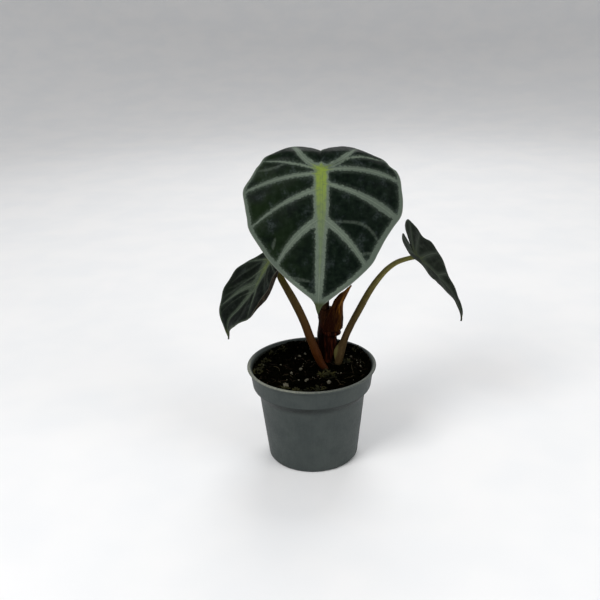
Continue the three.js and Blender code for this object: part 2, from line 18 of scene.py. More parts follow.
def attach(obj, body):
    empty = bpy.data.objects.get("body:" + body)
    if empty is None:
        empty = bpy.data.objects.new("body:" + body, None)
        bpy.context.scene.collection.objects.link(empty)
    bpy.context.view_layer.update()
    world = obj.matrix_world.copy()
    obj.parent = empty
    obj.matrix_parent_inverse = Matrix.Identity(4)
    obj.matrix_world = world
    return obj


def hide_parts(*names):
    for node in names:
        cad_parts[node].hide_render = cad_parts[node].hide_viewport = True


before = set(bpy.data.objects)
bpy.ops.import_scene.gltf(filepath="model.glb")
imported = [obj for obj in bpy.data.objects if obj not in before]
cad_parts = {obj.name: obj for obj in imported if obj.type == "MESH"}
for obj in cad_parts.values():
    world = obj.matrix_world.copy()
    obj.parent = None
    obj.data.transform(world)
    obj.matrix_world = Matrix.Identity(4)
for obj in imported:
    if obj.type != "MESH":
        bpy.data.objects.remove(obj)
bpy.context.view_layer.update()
print("CAD nodes:", sorted(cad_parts))

# %% [markdown]
# ## Camera
# The picture was taken from a little above the pot, with the camera slightly rolled. A camera can be aimed
# by hand, or its axes can be worked out from three angles. Angles are used, because they say plainly what
# the camera does: it pans, then tilts down, then rolls. A 48 mm lens on a 36 mm sensor gives the field of
# view of the photograph.

# %% Aim the camera
MM = 0.001
CAMERA_PLACE = np.array([0.0, -336.9, 207.4])
CAMERA_PAN, CAMERA_DOWN, CAMERA_ROLL = (math.radians(angle) for angle in (-0.77, 21.09, -1.65))
SENSOR_WIDTH, LENS = 36, 48


def unit(vectors):
    """The vectors at length one, along the last axis."""
    vectors = np.asarray(vectors, float)
    return vectors / np.maximum(np.linalg.norm(vectors, axis=-1, keepdims=True), 1e-9)


def camera_axes():
    """Right, up and back of the camera: the view direction from pan and tilt, then a turn about it by the
    roll."""
    ahead = np.array([
        math.sin(CAMERA_PAN) * math.cos(CAMERA_DOWN),
        math.cos(CAMERA_PAN) * math.cos(CAMERA_DOWN),
        -math.sin(CAMERA_DOWN),
    ])
    level = unit(np.cross(ahead, [0, 0, 1]))
    above = np.cross(level, ahead)
    right = level * math.cos(CAMERA_ROLL) + above * math.sin(CAMERA_ROLL)
    up = above * math.cos(CAMERA_ROLL) - level * math.sin(CAMERA_ROLL)
    return right, up, -ahead


camera = bpy.data.objects.new("camera", bpy.data.cameras.new("camera"))
bpy.context.scene.collection.objects.link(camera)
pose = np.eye(4)
pose[:3, :3] = np.stack(camera_axes(), axis=1)
pose[:3, 3] = CAMERA_PLACE * MM
camera.matrix_world = Matrix(pose.tolist())
camera.data.sensor_width = SENSOR_WIDTH
camera.data.lens = LENS
camera.data.clip_start = 0.01
camera.data.clip_end = 20
bpy.context.scene.camera = camera
print("camera at", (CAMERA_PLACE * MM).round(4))

# %% [markdown]
# ## Grids of points become meshes
# Most pieces here are closed skins: a loop of points, carried row after row along the piece, whose first
# and last rows shrink to a point. One helper can turn any such grid into a mesh. It joins each row's last
# column to its first, merges doubled points at the ends, and turns all faces outwards by the sign of the
# volume that they enclose.

# %% Mesh helpers
MERGE_DISTANCE = 1e-7


def solid(name, points, faces, values=None):
    """Object from points in millimetres and quads. Its volume, a sum of triple products, must be positive."""
    corners = points[faces]
    halves = [np.cross(corners[:, 1], corners[:, 2]), np.cross(corners[:, 2], corners[:, 3])]
    volume = sum((corners[:, 0] * half).sum() for half in halves)
    if volume < 0:
        faces = faces[:, ::-1]
    mesh = bpy.data.meshes.new(name)
    mesh.from_pydata((points * MM).tolist(), [], faces.tolist())
    for label, value in (values or {}).items():
        value = np.asarray(value, dtype=np.float32).reshape(len(points), -1)
        if value.shape[1] == 3:
            mesh.attributes.new(label, "FLOAT_VECTOR", "POINT").data.foreach_set("vector", value.ravel())
        else:
            mesh.attributes.new(label, "FLOAT", "POINT").data.foreach_set("value", value.ravel())
    work = bmesh.new()
    work.from_mesh(mesh)
    bmesh.ops.remove_doubles(work, verts=work.verts, dist=MERGE_DISTANCE)
    work.to_mesh(mesh)
    work.free()
    mesh.polygons.foreach_set("use_smooth", np.ones(len(mesh.polygons), dtype=bool))
    mesh.update()
    piece = bpy.data.objects.new(name, mesh)
    bpy.context.scene.collection.objects.link(piece)
    print(f"{name}: {len(mesh.polygons)} faces, {abs(volume) / 6000:.2f} ml")
    return piece


def full_turn(sides):
    """Angles of evenly spaced columns, once round."""
    return np.linspace(0, 2 * np.pi, sides, endpoint=False)


def ball_points(rings, sides):
    """Ball of radius one as rings of latitude: sine and cosine of the tilt from the pole and of the turn."""
    tilt = np.linspace(0, np.pi, rings)[:, None]
    turn = full_turn(sides)[None]
    return np.stack([np.sin(tilt) * np.cos(turn), np.sin(tilt) * np.sin(turn), np.cos(tilt) + 0 * turn], -1)


def loop_faces(rows, columns, copies=1):
    """Quads of a grid whose columns run round in a loop, for each of several copies of it."""
    index = np.arange(rows * columns).reshape(rows, columns)
    beside = np.roll(index, -1, axis=1)
    quads = np.stack([index[:-1], beside[:-1], beside[1:], index[1:]], axis=-1).reshape(-1, 4)
    return (quads[None] + (np.arange(copies) * rows * columns)[:, None, None]).reshape(-1, 4)


def looped(name, points, values=None):
    """Closed skin over a grid (rows, columns, 3), or over several grids (copies, rows, columns, 3)."""
    copies = points.shape[0] if points.ndim == 4 else 1
    rows, columns = points.shape[-3:-1]
    return solid(name, points.reshape(-1, 3), loop_faces(rows, columns, copies), values)


def shut(rings):
    """The grid with one more ring at each end, shrunk to the end ring's middle."""
    first = np.broadcast_to(rings[:1].mean(axis=1, keepdims=True), rings[:1].shape)
    last = np.broadcast_to(rings[-1:].mean(axis=1, keepdims=True), rings[-1:].shape)
    return np.concatenate([first, rings, last])


def shut_values(values):
    """Values for such a grid: the first and the last row of each are doubled."""
    return {label: np.concatenate([value[:1], value, value[-1:]]) for label, value in values.items()}


def dress(piece, node, slot, material):
    """Lets a piece ride on the plant, stand for its CAD node if it has one, and wear its material."""
    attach(piece, "root")
    if node:
        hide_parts(node)
    piece.data.materials.append(material)
    print(f"{piece.name}: slot {slot}, stands for {node or 'no node'}, wears {material.name}")


# %% [markdown]
# ## Unevenness
# Nothing that grew is quite even. Value noise gives that unevenness: each corner of a cubic lattice holds
# a random height, and a point blends the 8 corners round it with smooth shares. The random heights come
# from one seeded table, so the plant is the same each time.

# %% Noise for shapes
HEIGHTS = np.random.default_rng(11).random(4096) * 2 - 1


def smooth_share(low, high, x):
    """Smoothstep: 0 below low, 1 above high, and 3t^2 - 2t^3 between them."""
    t = np.clip((np.asarray(x, float) - low) / (high - low), 0, 1)
    return t * t * (3 - 2 * t)


def bumps(points, size, seed=0):
    """Value noise from -1 to 1 at points in millimetres, with lattice cells of the given size."""
    cell = np.asarray(points, float) / size + 211.3 + 17.7 * seed
    low = np.floor(cell).astype(np.int64)
    part = cell - low
    part = part * part * (3 - 2 * part)
    total = 0.0
    for corner in np.ndindex(2, 2, 2):
        step = np.array(corner)
        key = ((low + step) * np.array([73856093, 19349663, 83492791])).sum(-1)
        share = np.where(step, part, 1 - part).prod(-1)
        total = total + share * HEIGHTS[key % len(HEIGHTS)]
    return total


def through(pairs, at):
    """Straight lines through rows of (position, value), read at the given positions."""
    table = np.asarray(pairs, float)
    return np.interp(at, table[:, 0], table[:, 1])


def eased(pairs, at, window):
    """The same lines with their corners eased: the mean of nine readings spread over a window."""
    return np.mean([through(pairs, at + shift) for shift in np.linspace(-window / 2, window / 2, 9)], axis=0)


print("bumps at three places:", bumps([[0, 0, 0], [1, 0, 0], [2, 0, 0]], 2.0).round(3))

# %% [markdown]
# ## Shader building blocks
# A procedural material is a small graph of nodes. Short helpers place a node, fill its sockets and link
# it, so that each material reads as a list of decisions. Lengths on the plant are in millimetres, so the
# object coordinates are multiplied by 1000 first.

# %% Shader helpers
def linear(red, green, blue):
    """Scene colour of a display colour given as 0 to 255, by the sRGB curve."""
    share = np.array([red, green, blue]) / 255
    curve = np.where(share <= 0.04045, share / 12.92, ((share + 0.055) / 1.055) ** 2.4)
    return (*curve.tolist(), 1.0)


def paint(colour):
    """A tint of three numbers becomes a scene colour, and a link or a scene colour stays what it is."""
    return linear(*colour) if not isinstance(colour, bpy.types.NodeSocket) and len(colour) == 3 else colour


def place(tree, kind, inputs=None, **settings):
    """A node of a kind, with settings and with values or links in its inputs."""
    made = tree.nodes.new(kind)
    for label, value in settings.items():
        setattr(made, label, value)
    for socket, value in (inputs or {}).items():
        if isinstance(value, bpy.types.NodeSocket):
            tree.links.new(value, made.inputs[socket])
        else:
            made.inputs[socket].default_value = value
    return made


def read(tree, label):
    """Value of a float attribute that the mesh carries."""
    return place(tree, "ShaderNodeAttribute", attribute_name=label).outputs["Fac"]


def read_vector(tree, label):
    """Value of a vector attribute that the mesh carries."""
    return place(tree, "ShaderNodeAttribute", attribute_name=label).outputs["Vector"]


def millimetres(tree):
    """Object coordinates in millimetres."""
    spot = place(tree, "ShaderNodeTexCoord").outputs["Object"]
    return place(tree, "ShaderNodeVectorMath", {0: spot, 1: (1000, 1000, 1000)}, operation="MULTIPLY").outputs[0]


def maths(tree, operation, *values):
    """Result of a maths node."""
    made = place(tree, "ShaderNodeMath", dict(enumerate(values)), operation=operation)
    return made.outputs[0]


def times(tree, one, two):
    """Product of two values."""
    return maths(tree, "MULTIPLY", one, two)


def shaken(tree, value, unevenness, amount):
    """A value made uneven by a noise: value + amount * (noise - 0.5)."""
    return maths(tree, "MULTIPLY_ADD", unevenness, amount, maths(tree, "SUBTRACT", value, 0.5 * amount))


def away(tree, value, spot):
    """How far a value is from a given one."""
    return maths(tree, "ABSOLUTE", maths(tree, "SUBTRACT", value, spot))


def coordinates(tree, spot):
    """The three coordinates of a place."""
    parts = place(tree, "ShaderNodeSeparateXYZ", {0: spot}).outputs
    return parts["X"], parts["Y"], parts["Z"]


def fade(tree, value, zero, one):
    """Smoothstep mask: 0 where the value is at zero, 1 where it is at one."""
    flip = zero > one
    low, high = min(zero, one), max(zero, one)
    inputs = {"Value": value, "From Min": low, "From Max": high}
    inputs.update({"To Min": float(flip), "To Max": float(not flip)})
    return place(tree, "ShaderNodeMapRange", inputs, interpolation_type="SMOOTHSTEP").outputs["Result"]


def blend(tree, mask, below, above, mode="MIX"):
    """Mix of two colours by a mask. Each is a link or a tint from 0 to 255."""
    inputs = {0: mask, 6: paint(below), 7: paint(above)}
    return place(tree, "ShaderNodeMix", inputs, data_type="RGBA", blend_type=mode).outputs[2]


def glaze(tree, below, mask, share, tint, mode="MIX"):
    """A colour with a tint laid over it as strongly as a mask times a share."""
    return blend(tree, times(tree, mask, share), below, tint, mode)


def noise(tree, vector, scale, detail=3.0, rough=0.55):
    """Value of the noise node, about 0.5 on average."""
    inputs = {"Vector": vector, "Scale": scale, "Detail": detail, "Roughness": rough}
    return place(tree, "ShaderNodeTexNoise", inputs).outputs["Fac"]


def stretched(tree, vector, factors):
    """Coordinates multiplied by a factor on each axis."""
    return place(tree, "ShaderNodeVectorMath", {0: vector, 1: factors}, operation="MULTIPLY").outputs[0]


def ramp(tree, value, stops):
    """Colours along a value, from (position, tint) stops."""
    made = place(tree, "ShaderNodeValToRGB", {0: value})
    elements = made.color_ramp.elements
    while len(elements) < len(stops):
        elements.new(1.0)
    for element, (position, tint) in zip(elements, stops):
        element.position = position
        element.color = paint(tint)
    return made.outputs["Color"]


print("display 128 is scene", round(linear(128, 128, 128)[0], 3))

# %% [markdown]
# ## Materials from parts
# Every material here ends the same way: a colour, a roughness and a bump go into one Principled shader.

# %% Material helpers
def finish(name, colour, roughness, height=None, depth=0.05, sockets=None):
    """Material with a Principled shader: a colour, a roughness and a bump whose depth is in millimetres."""
    material = bpy.data.materials[name]
    tree = material.node_tree
    shader = tree.nodes["Principled BSDF"]
    tree.links.new(colour, shader.inputs["Base Color"])
    if isinstance(roughness, bpy.types.NodeSocket):
        tree.links.new(roughness, shader.inputs["Roughness"])
    else:
        shader.inputs["Roughness"].default_value = roughness
    if height is not None:
        bump = place(tree, "ShaderNodeBump", {"Height": height, "Distance": depth * MM, "Strength": 1.0})
        tree.links.new(bump.outputs["Normal"], shader.inputs["Normal"])
    for label, value in (sockets or {}).items():
        shader.inputs[label].default_value = value
    return material


def blank(name):
    """Node tree of a new material."""
    material = bpy.data.materials.new(name)
    material.use_nodes = True
    return material.node_tree


# %% [markdown]
# ## Effects shared by several materials
# Grain, fibres and soil dust show on more than one piece, so each is a node group with named sockets. A
# group hands out only masks, values and colours. The Principled shader stays in the material.

# %% Shader groups
def new_group(name, inputs, outputs):
    """Node group with float, vector or colour sockets, and its two ends."""
    kinds = {"value": "NodeSocketFloat", "vector": "NodeSocketVector", "colour": "NodeSocketColor"}
    group = bpy.data.node_groups.new(name, "ShaderNodeTree")
    for label, kind in inputs.items():
        group.interface.new_socket(name=label, in_out="INPUT", socket_type=kinds[kind])
    for label, kind in outputs.items():
        group.interface.new_socket(name=label, in_out="OUTPUT", socket_type=kinds[kind])
    return group, group.nodes.new("NodeGroupInput"), group.nodes.new("NodeGroupOutput")


def grain_group():
    """Two sizes of noise in one: broad clouds and a grain eight times finer, both from 0 to 1."""
    group, ins, outs = new_group(
        "grain", {"Vector": "vector", "Scale": "value"}, {"Clouds": "value", "Grain": "value"},
    )
    fine_scale = times(group, ins.outputs["Scale"], 8.0)
    clouds = noise(group, ins.outputs["Vector"], ins.outputs["Scale"], 2.0)
    grain = noise(group, ins.outputs["Vector"], fine_scale, 2.0)
    group.links.new(fade(group, clouds, 0.3, 0.7), outs.inputs["Clouds"])
    group.links.new(fade(group, grain, 0.25, 0.75), outs.inputs["Grain"])
    return group


def fibres_group():
    """Streaks that run along the second axis: noise squeezed along it, with finer streaks on top."""
    group, ins, outs = new_group("fibres", {"Vector": "vector", "Scale": "value"}, {"Streaks": "value"})
    long_way = stretched(group, ins.outputs["Vector"], (1.0, 0.12, 1.0))
    broad = noise(group, long_way, ins.outputs["Scale"], 3.0)
    thin = noise(group, long_way, times(group, ins.outputs["Scale"], 3.7), 2.0)
    both = maths(group, "MULTIPLY_ADD", thin, 0.45, times(group, broad, 0.55))
    group.links.new(fade(group, both, 0.36, 0.64), outs.inputs["Streaks"])
    return group


def dust_group():
    """Colour with a film of dark soil dust, thick at one height and patchy above it."""
    group, ins, outs = new_group(
        "soil dust", {"Colour": "colour", "Low": "value", "High": "value"}, {"Colour": "colour"},
    )
    spot = millimetres(group)
    span = maths(group, "SUBTRACT", ins.outputs["High"], ins.outputs["Low"])
    height = coordinates(group, spot)[2]
    share = maths(group, "DIVIDE", maths(group, "SUBTRACT", height, ins.outputs["Low"]), span)
    dust = fade(group, shaken(group, share, noise(group, spot, 0.9, 4.0), 1.4), 1.0, 0.0)
    group.links.new(blend(group, dust, ins.outputs["Colour"], (18, 15, 9)), outs.inputs["Colour"])
    return group


GRAIN, FIBRES, DUST = grain_group(), fibres_group(), dust_group()


def use_group(tree, group, **inputs):
    """Outputs of a placed node group."""
    return place(tree, "ShaderNodeGroup", inputs, node_tree=group).outputs


print("shader groups:", [group.name for group in (GRAIN, FIBRES, DUST)])

# %% [markdown]
# ## Studio
# The plant stands on a pale floor that curves up all round into a low wall, so no horizon shows. It is a
# turned surface: a profile of radius and height, swept once round. A large soft light from the upper left,
# a weaker one from the right and one from behind give even light with gentle highlights on the leaves. The
# sky is pale where the camera sees it and dimmer as a light.

# %% Floor, lights and sky
FLOOR_FLAT, FLOOR_EDGE, WALL_TOP = 900, 1700, 560


def floor_points(rings, sides):
    """Flat disc, then a quarter ellipse that rises to the wall's top."""
    flat = np.linspace(0, FLOOR_FLAT, rings)
    turn = np.linspace(0, np.pi / 2, rings)[1:]
    radius = np.concatenate([flat, FLOOR_FLAT + (FLOOR_EDGE - FLOOR_FLAT) * np.sin(turn)])
    height = np.concatenate([0 * flat, WALL_TOP * (1 - np.cos(turn))])
    angle = full_turn(sides)
    return np.stack([
        radius[:, None] * np.cos(angle),
        radius[:, None] * np.sin(angle),
        np.broadcast_to(height[:, None], (len(radius), sides)),
    ], axis=-1)


tree = blank("pale floor")
paper = use_group(tree, GRAIN, Vector=millimetres(tree), Scale=0.02)
paper_colour = blend(tree, paper["Clouds"], (236, 237, 238), (240, 240, 240))
floor = looped("floor", floor_points(30, 120))
floor.data.materials.append(finish("pale floor", paper_colour, 0.9, sockets={"Specular IOR Level": 0.1}))


def soft_light(name, spot, aim, side, watts):
    """Square area light at a spot, turned to its aim: its Z axis points away from what it lights."""
    data = bpy.data.lights.new(name, "AREA")
    data.size = side * MM
    data.energy = watts
    lamp = bpy.data.objects.new(name, data)
    back = unit(np.array(spot, float) - np.array(aim, float))
    across = unit(np.cross([0, 0, 1], back))
    turned = np.eye(4)
    turned[:3, :3] = np.stack([across, np.cross(back, across), back], axis=1)
    turned[:3, 3] = np.array(spot, float) * MM
    lamp.matrix_world = Matrix(turned.tolist())
    bpy.context.scene.collection.objects.link(lamp)


soft_light("window light", (-520, -520, 760), (0, 0, 80), 420, 6.0)
soft_light("fill light", (640, -420, 420), (0, 0, 80), 520, 2.6)
soft_light("back light", (120, 620, 760), (0, 0, 60), 520, 3.4)

SKY_DIM, SKY_SEEN_MORE = 0.4, 0.75
world = bpy.data.worlds.new("sky")
world.use_nodes = True
bpy.context.scene.world = world
sky = world.node_tree.nodes["Background"]
seen = place(world.node_tree, "ShaderNodeLightPath").outputs["Is Camera Ray"]
strength = maths(world.node_tree, "MULTIPLY_ADD", seen, SKY_SEEN_MORE, SKY_DIM)
world.node_tree.links.new(strength, sky.inputs["Strength"])
sky.inputs["Color"].default_value = (0.86, 0.86, 0.87, 1)
bpy.context.scene.view_settings.view_transform = "Standard"
print("lights:", [light.name for light in bpy.data.lights])

# %% [markdown]
# ## Pot
# The pot is one thin plastic moulding: a tapered body, a chamfer, a deep collar and a thin lip, with a foot
# ring and a drained floor underneath. It could be spun by a Screw modifier. Here the outline is a list of
# radius and height, each corner is rounded by a short curve, and the outline is turned into a grid. The six
# drain holes are cut by a Boolean modifier, which is then applied.

# %% Pot shape
POT_HEIGHT = 46
DRAIN_CIRCLE, DRAIN_RADIUS, DRAIN_COUNT = 12.9, 2.0, 6
POT_SIDES = 176
# Outline from the middle of the underside, up the outside, over the lip and down the inside, as
# (radius, height, rounding).
POT_OUTLINE = [
    (0, 0, 0), (8.8, 0, 0.3), (9.5, 1.4, 0.3), (16.3, 1.4, 0.3), (17, 0, 0.3), (20.4, 0, 0.4),
    (21.2, 0.8, 0.5), (24.75, 32.6, 1), (27.4, 36.1, 0.4), (27.58, 36.5, 0.2), (28.7, 44.5, 0.5),
    (29.75, 45, 0.3), (30, 45.5, 0.25), (29.75, 46, 0.25), (28.8, 46, 0.3), (27.75, 44.7, 0.5),
    (26.55, 36.7, 0.8), (23.78, 33.1, 0.8), (20.2, 1.9, 0.5), (19.8, 1.1, 0.3), (17.8, 1.1, 0.3),
    (17, 2.5, 0.3), (8.8, 2.5, 0.3), (8, 1.1, 0.3), (0, 1.1, 0),
]
LONG_RUN, WALL_STEPS, CORNER_STEPS = 4, 10, 5
OUTER_PARTS = 19
# Where the moulding left a nick, how far it spreads, and how far it stands out.
NICK_ANGLE, NICK_HEIGHT, NICK_TURN, NICK_TALL, NICK_DEPTH = 2 * math.pi - 1.107, 1.1, 0.035, 0.7, 0.35


def rounded(outline):
    """Outline with each corner replaced by a quadratic curve that starts and ends its rounding away from it,
    and with long straight runs split in equal steps."""
    table = np.asarray(outline, float)
    spots, rounding = table[:, :2], table[:, 2]
    path = [spots[0]]
    for k in range(1, len(spots) - 1):
        before, after = spots[k - 1] - spots[k], spots[k + 1] - spots[k]
        reach = min(rounding[k], 0.45 * np.linalg.norm(before), 0.45 * np.linalg.norm(after))
        start = spots[k] + before / np.linalg.norm(before) * reach
        end = spots[k] + after / np.linalg.norm(after) * reach
        if np.linalg.norm(start - path[-1]) > LONG_RUN:
            path += list(path[-1] + (start - path[-1]) * np.linspace(0, 1, WALL_STEPS)[1:-1, None])
        share = np.linspace(0, 1, CORNER_STEPS)[:, None]
        path += list((1 - share) ** 2 * start + 2 * share * (1 - share) * spots[k] + share ** 2 * end)
    return np.array([*path, spots[-1]])


def pot_points():
    """The outline turned once round. From the foot outwards the walls waver by a few hundredths, and a nick
    stands out as one bell curve over the angle times one over the height."""
    outline = rounded(POT_OUTLINE)
    angle = full_turn(POT_SIDES)
    radius, height = np.broadcast_arrays(outline[:, :1], outline[:, 1:] * np.ones(POT_SIDES))
    spot = np.stack([radius * np.cos(angle), radius * np.sin(angle), height], axis=-1)
    waver = 0.05 * bumps(spot * [1, 1, 0.3], 9, 1) + 0.02 * bumps(spot, 3, 2)
    nick = np.exp(-((angle - NICK_ANGLE) / NICK_TURN) ** 2) * np.exp(-((height - NICK_HEIGHT) / NICK_TALL) ** 2)
    grown = radius + np.where(radius > OUTER_PARTS, waver + NICK_DEPTH * nick, 0)
    return np.stack([grown * np.cos(angle), grown * np.sin(angle), height], axis=-1)


def drain_cutters():
    """Six upright posts with closed ends, each ring a circle round its place on the drain circle."""
    way = 2 * np.pi * (np.arange(DRAIN_COUNT) + 0.5) / DRAIN_COUNT
    middle = DRAIN_CIRCLE * np.stack([np.cos(way), np.sin(way)], axis=-1)
    turn = full_turn(32)
    ring = np.stack([np.cos(turn), np.sin(turn)], axis=-1)
    radius = np.array([0, DRAIN_RADIUS, DRAIN_RADIUS, 0])[None, :, None, None]
    height = np.array([-1, -1, 4, 4], float)[None, :, None, None]
    flat = middle[:, None, None, :] + radius * ring[None, None]
    return np.concatenate([flat, np.broadcast_to(height, (*flat.shape[:-1], 1))], axis=-1)


def cut_away(piece, cutter):
    """Applies a Boolean difference and removes the cutter."""
    cut = piece.modifiers.new("drains", "BOOLEAN")
    cut.object, cut.operation, cut.solver = cutter, "DIFFERENCE", "EXACT"
    done = bpy.data.meshes.new_from_object(piece.evaluated_get(bpy.context.evaluated_depsgraph_get()))
    piece.modifiers.clear()
    piece.data = done
    bpy.data.objects.remove(cutter)
    print(f"{piece.name}: {len(done.polygons)} faces after cutting")


pot = looped("pot_moulding", pot_points())
cut_away(pot, looped("drain_cutters", drain_cutters()))

# %% [markdown]
# ## Pot plastic
# The plastic is a satin blue-grey. Real pots of this kind are never one colour: faint rubbed marks run down
# the outside, and there are two small stains on the collar. Light and shade are painted on too: a painted
# highlight makes the top of the lip paler, most at the front left, a painted shade lies in a dark line under
# the collar's edge, and painted shade darkens the inner wall above the soil, speckled like soil dust. An
# image of the wall could be painted for them. Here each is a mask over the object coordinates, because
# then it needs no unwrapping and stays sharp at any size.

# %% Pot plastic
# Heights in millimetres where a mask is at zero and at one.
LIP_HEIGHTS, SHADE_TOP, SHADE_FOOT, INNER_SHADE = (45.35, 45.75), (36.7, 36.3), (31.0, 35.2), (35.0, 40.0)
# The lip's painted highlight grows from back to front and from right to left.
LIP_HIGHLIGHT_Y, LIP_HIGHLIGHT_X = (16.0, -6.0), (13.0, -12.0)
# The inner wall leans out by this much per millimetre of height, and is measured at the collar's foot.
WALL_LEAN, WALL_FOOT, INNER_RADII = 0.125, 36.72, (27.1, 26.8)
# Middles and half sizes of the stains.
STAINS = [((19.9, -18.9, 35.6), (1.3, 1.3, 0.75)), ((17.6, -20.3, 34.9), (1.6, 1.6, 0.5))]

tree = blank("pot plastic")
spot = millimetres(tree)
x, y, z = coordinates(tree, spot)
radius = maths(tree, "SQRT", maths(tree, "MULTIPLY_ADD", x, x, times(tree, y, y)))
clouds = use_group(tree, GRAIN, Vector=spot, Scale=0.12)
rubbed = use_group(tree, FIBRES, Vector=stretched(tree, spot, (1, 1, 0.1)), Scale=0.9)["Streaks"]
colour = blend(tree, clouds["Clouds"], (57, 63, 62), (64, 70, 68))
colour = glaze(tree, colour, rubbed, 0.13, (76, 82, 80))
colour = glaze(tree, colour, clouds["Grain"], 0.12, (46, 51, 50))

# Painted highlight: the top of the lip is paler at the front and left, where the light catches it, flecked by the
# grain.
lip_highlight = times(tree, fade(tree, z, *LIP_HEIGHTS), fade(tree, y, *LIP_HIGHLIGHT_Y))
lip_highlight = times(tree, lip_highlight, maths(tree, "MULTIPLY_ADD", fade(tree, x, *LIP_HIGHLIGHT_X), 0.65, 0.35))
worn = times(tree, lip_highlight, maths(tree, "MULTIPLY_ADD", clouds["Grain"], 0.7, 0.35))
colour = blend(tree, worn, colour, (122, 124, 112))

# Painted shade: a dark line under the collar's edge, where the chamfer below it lies in shadow, broken up by clouds.
painted_shade = times(tree, fade(tree, z, *SHADE_TOP), fade(tree, z, *SHADE_FOOT))
painted_shade = times(tree, painted_shade, maths(tree, "MULTIPLY_ADD", clouds["Clouds"], 0.3, 0.55))
colour = blend(tree, painted_shade, colour, (26, 29, 28))

# Painted shade on the inner wall above the soil: darkened nearly to the soil's colour, speckled by the grain like
# soil dust.
at_foot = maths(tree, "MULTIPLY_ADD", z, -WALL_LEAN, maths(tree, "ADD", radius, WALL_LEAN * WALL_FOOT))
inside = times(tree, fade(tree, at_foot, *INNER_RADII), fade(tree, z, *INNER_SHADE))
dust = blend(tree, clouds["Grain"], (14, 15, 10), (38, 43, 36))
colour = blend(tree, times(tree, inside, 0.9), colour, dust)

for middle, size in STAINS:
    offset = place(tree, "ShaderNodeVectorMath", {0: spot, 1: middle}, operation="SUBTRACT").outputs[0]
    scaled = place(tree, "ShaderNodeVectorMath", {0: offset, 1: size}, operation="DIVIDE").outputs[0]
    far = place(tree, "ShaderNodeVectorMath", {0: scaled}, operation="LENGTH").outputs["Value"]
    ragged = shaken(tree, far, noise(tree, spot, 1.6, 3.0), 1.6)
    colour = glaze(tree, colour, fade(tree, ragged, 1.0, 0.3), 0.55, (52, 44, 30))
roughness = maths(tree, "MULTIPLY_ADD", clouds["Grain"], 0.12, 0.46)
pot_plastic = finish("pot plastic", colour, roughness, clouds["Grain"], 0.02, {"Specular IOR Level": 0.15})
dress(pot, "pot", "pot_plastic", pot_plastic)

# %% [markdown]
# ## Soil
# The root ball fills the pot. Its body is a stack of rings down the inside of the wall, and its top is a
# disc of rings whose height is a formula: three crossed waves and a heap round the stem, as in the CAD
# soil, a bank against the wall, and three sizes of noise for crumbs. A displace modifier with textures
# could do it too, but then the loose bits below couldn't be set on the same height.

# %% Soil body
SOIL_LEVEL, SOIL_RADIUS = 44, 27.45
BUNDLE_FOOT = np.array([7.6, 5.2])
SOIL_BELOW = [
    (7.7, 1.4), (8.6, 2.8), (17.2, 2.8), (18.1, 1.4), (19.5, 1.4), (19.8, 2.2), (23.35, 33.2), (26.1, 36.8),
]
# The bank at the wall: its mean height, how much that swings round the pot and the angle where it is highest,
# the depth, angle and half width of the dip at the left, and how far in from the wall it starts and ends.
BANK_MEAN, BANK_SWING, BANK_ANGLE = 0.9, 0.75, 1.15
DIP_DEPTH, DIP_ANGLE, DIP_WIDTH = 0.9, 2.75, 0.35
BANK_INNER, BANK_OUTER = 4.5, 0.4
# Waves as (turn per millimetre of x, of y, start), and crumbs as (height, size), in millimetres.
WAVES, WAVE_HEIGHT, SLOPE = [(1.9, 0.7, 0), (0.8, -2.1, 1.3), (1.1, 1.6, 4)], 0.16, 0.03
HEAP_HEIGHT, HEAP_WIDTH = 0.9, 8
COARSE, FINE, GRIT = (0.75, 2.1), (0.5, 0.95), (0.16, 0.42)


def banked(x, y):
    """Soil heaped against the wall: a cosine round the pot, highest at the back and right, where it hides the
    wall, less a bell-shaped dip at the left."""
    angle = np.arctan2(y, x)
    tall = BANK_MEAN + BANK_SWING * np.cos(angle - BANK_ANGLE)
    tall = tall - DIP_DEPTH * np.exp(-((angle - DIP_ANGLE) / DIP_WIDTH) ** 2)
    return tall * smooth_share(SOIL_RADIUS - BANK_INNER, SOIL_RADIUS - BANK_OUTER, np.hypot(x, y))


def soil_height(x, y):
    """Level, slope, three crossed waves, the heap at the stem and the bank at the wall."""
    waves = sum(np.sin(by_x * x + by_y * y + start) for by_x, by_y, start in WAVES)
    heap = np.exp(-((x - BUNDLE_FOOT[0]) ** 2 + (y - BUNDLE_FOOT[1]) ** 2) / HEAP_WIDTH ** 2)
    return SOIL_LEVEL + SLOPE * x + WAVE_HEIGHT * waves + HEAP_HEIGHT * heap + banked(x, y)


def crumbled(x, y):
    """Soil height with crumbs: folded noise, so that they are round on top with sharp gaps between them."""
    spot = np.stack([x, y, 0 * x], axis=-1)
    crumbs = COARSE[0] * (0.5 - np.abs(bumps(spot, COARSE[1], 3))) + FINE[0] * (0.5 - np.abs(bumps(spot, FINE[1], 4)))
    return soil_height(x, y) + crumbs + GRIT[0] * bumps(spot, GRIT[1], 5)


def soil_points(sides=300, top_rings=95):
    """Rings up the inside of the pot, then crumbled rings from the wall to the middle."""
    angle = full_turn(sides)
    low = np.array([(0, 1.4), *SOIL_BELOW], float)
    rings = np.stack([
        low[:, :1] * np.cos(angle), low[:, :1] * np.sin(angle), np.broadcast_to(low[:, 1:], (len(low), sides)),
    ], axis=-1)
    radius = SOIL_RADIUS * (1 - np.linspace(0, 1, top_rings) ** 1.1)[:, None]
    x, y = radius * np.cos(angle), radius * np.sin(angle)
    top = np.stack([x, y, crumbled(x, y)], axis=-1)
    return np.concatenate([rings, top])


soil = looped("soil_ball", soil_points())

# %% [markdown]
# ## Peat
# Damp peat is almost black, with brown and slightly green specks. A picture of soil would show its repeats,
# so the specks come from the shared grain, read through a ramp that leaves most of the surface dark.

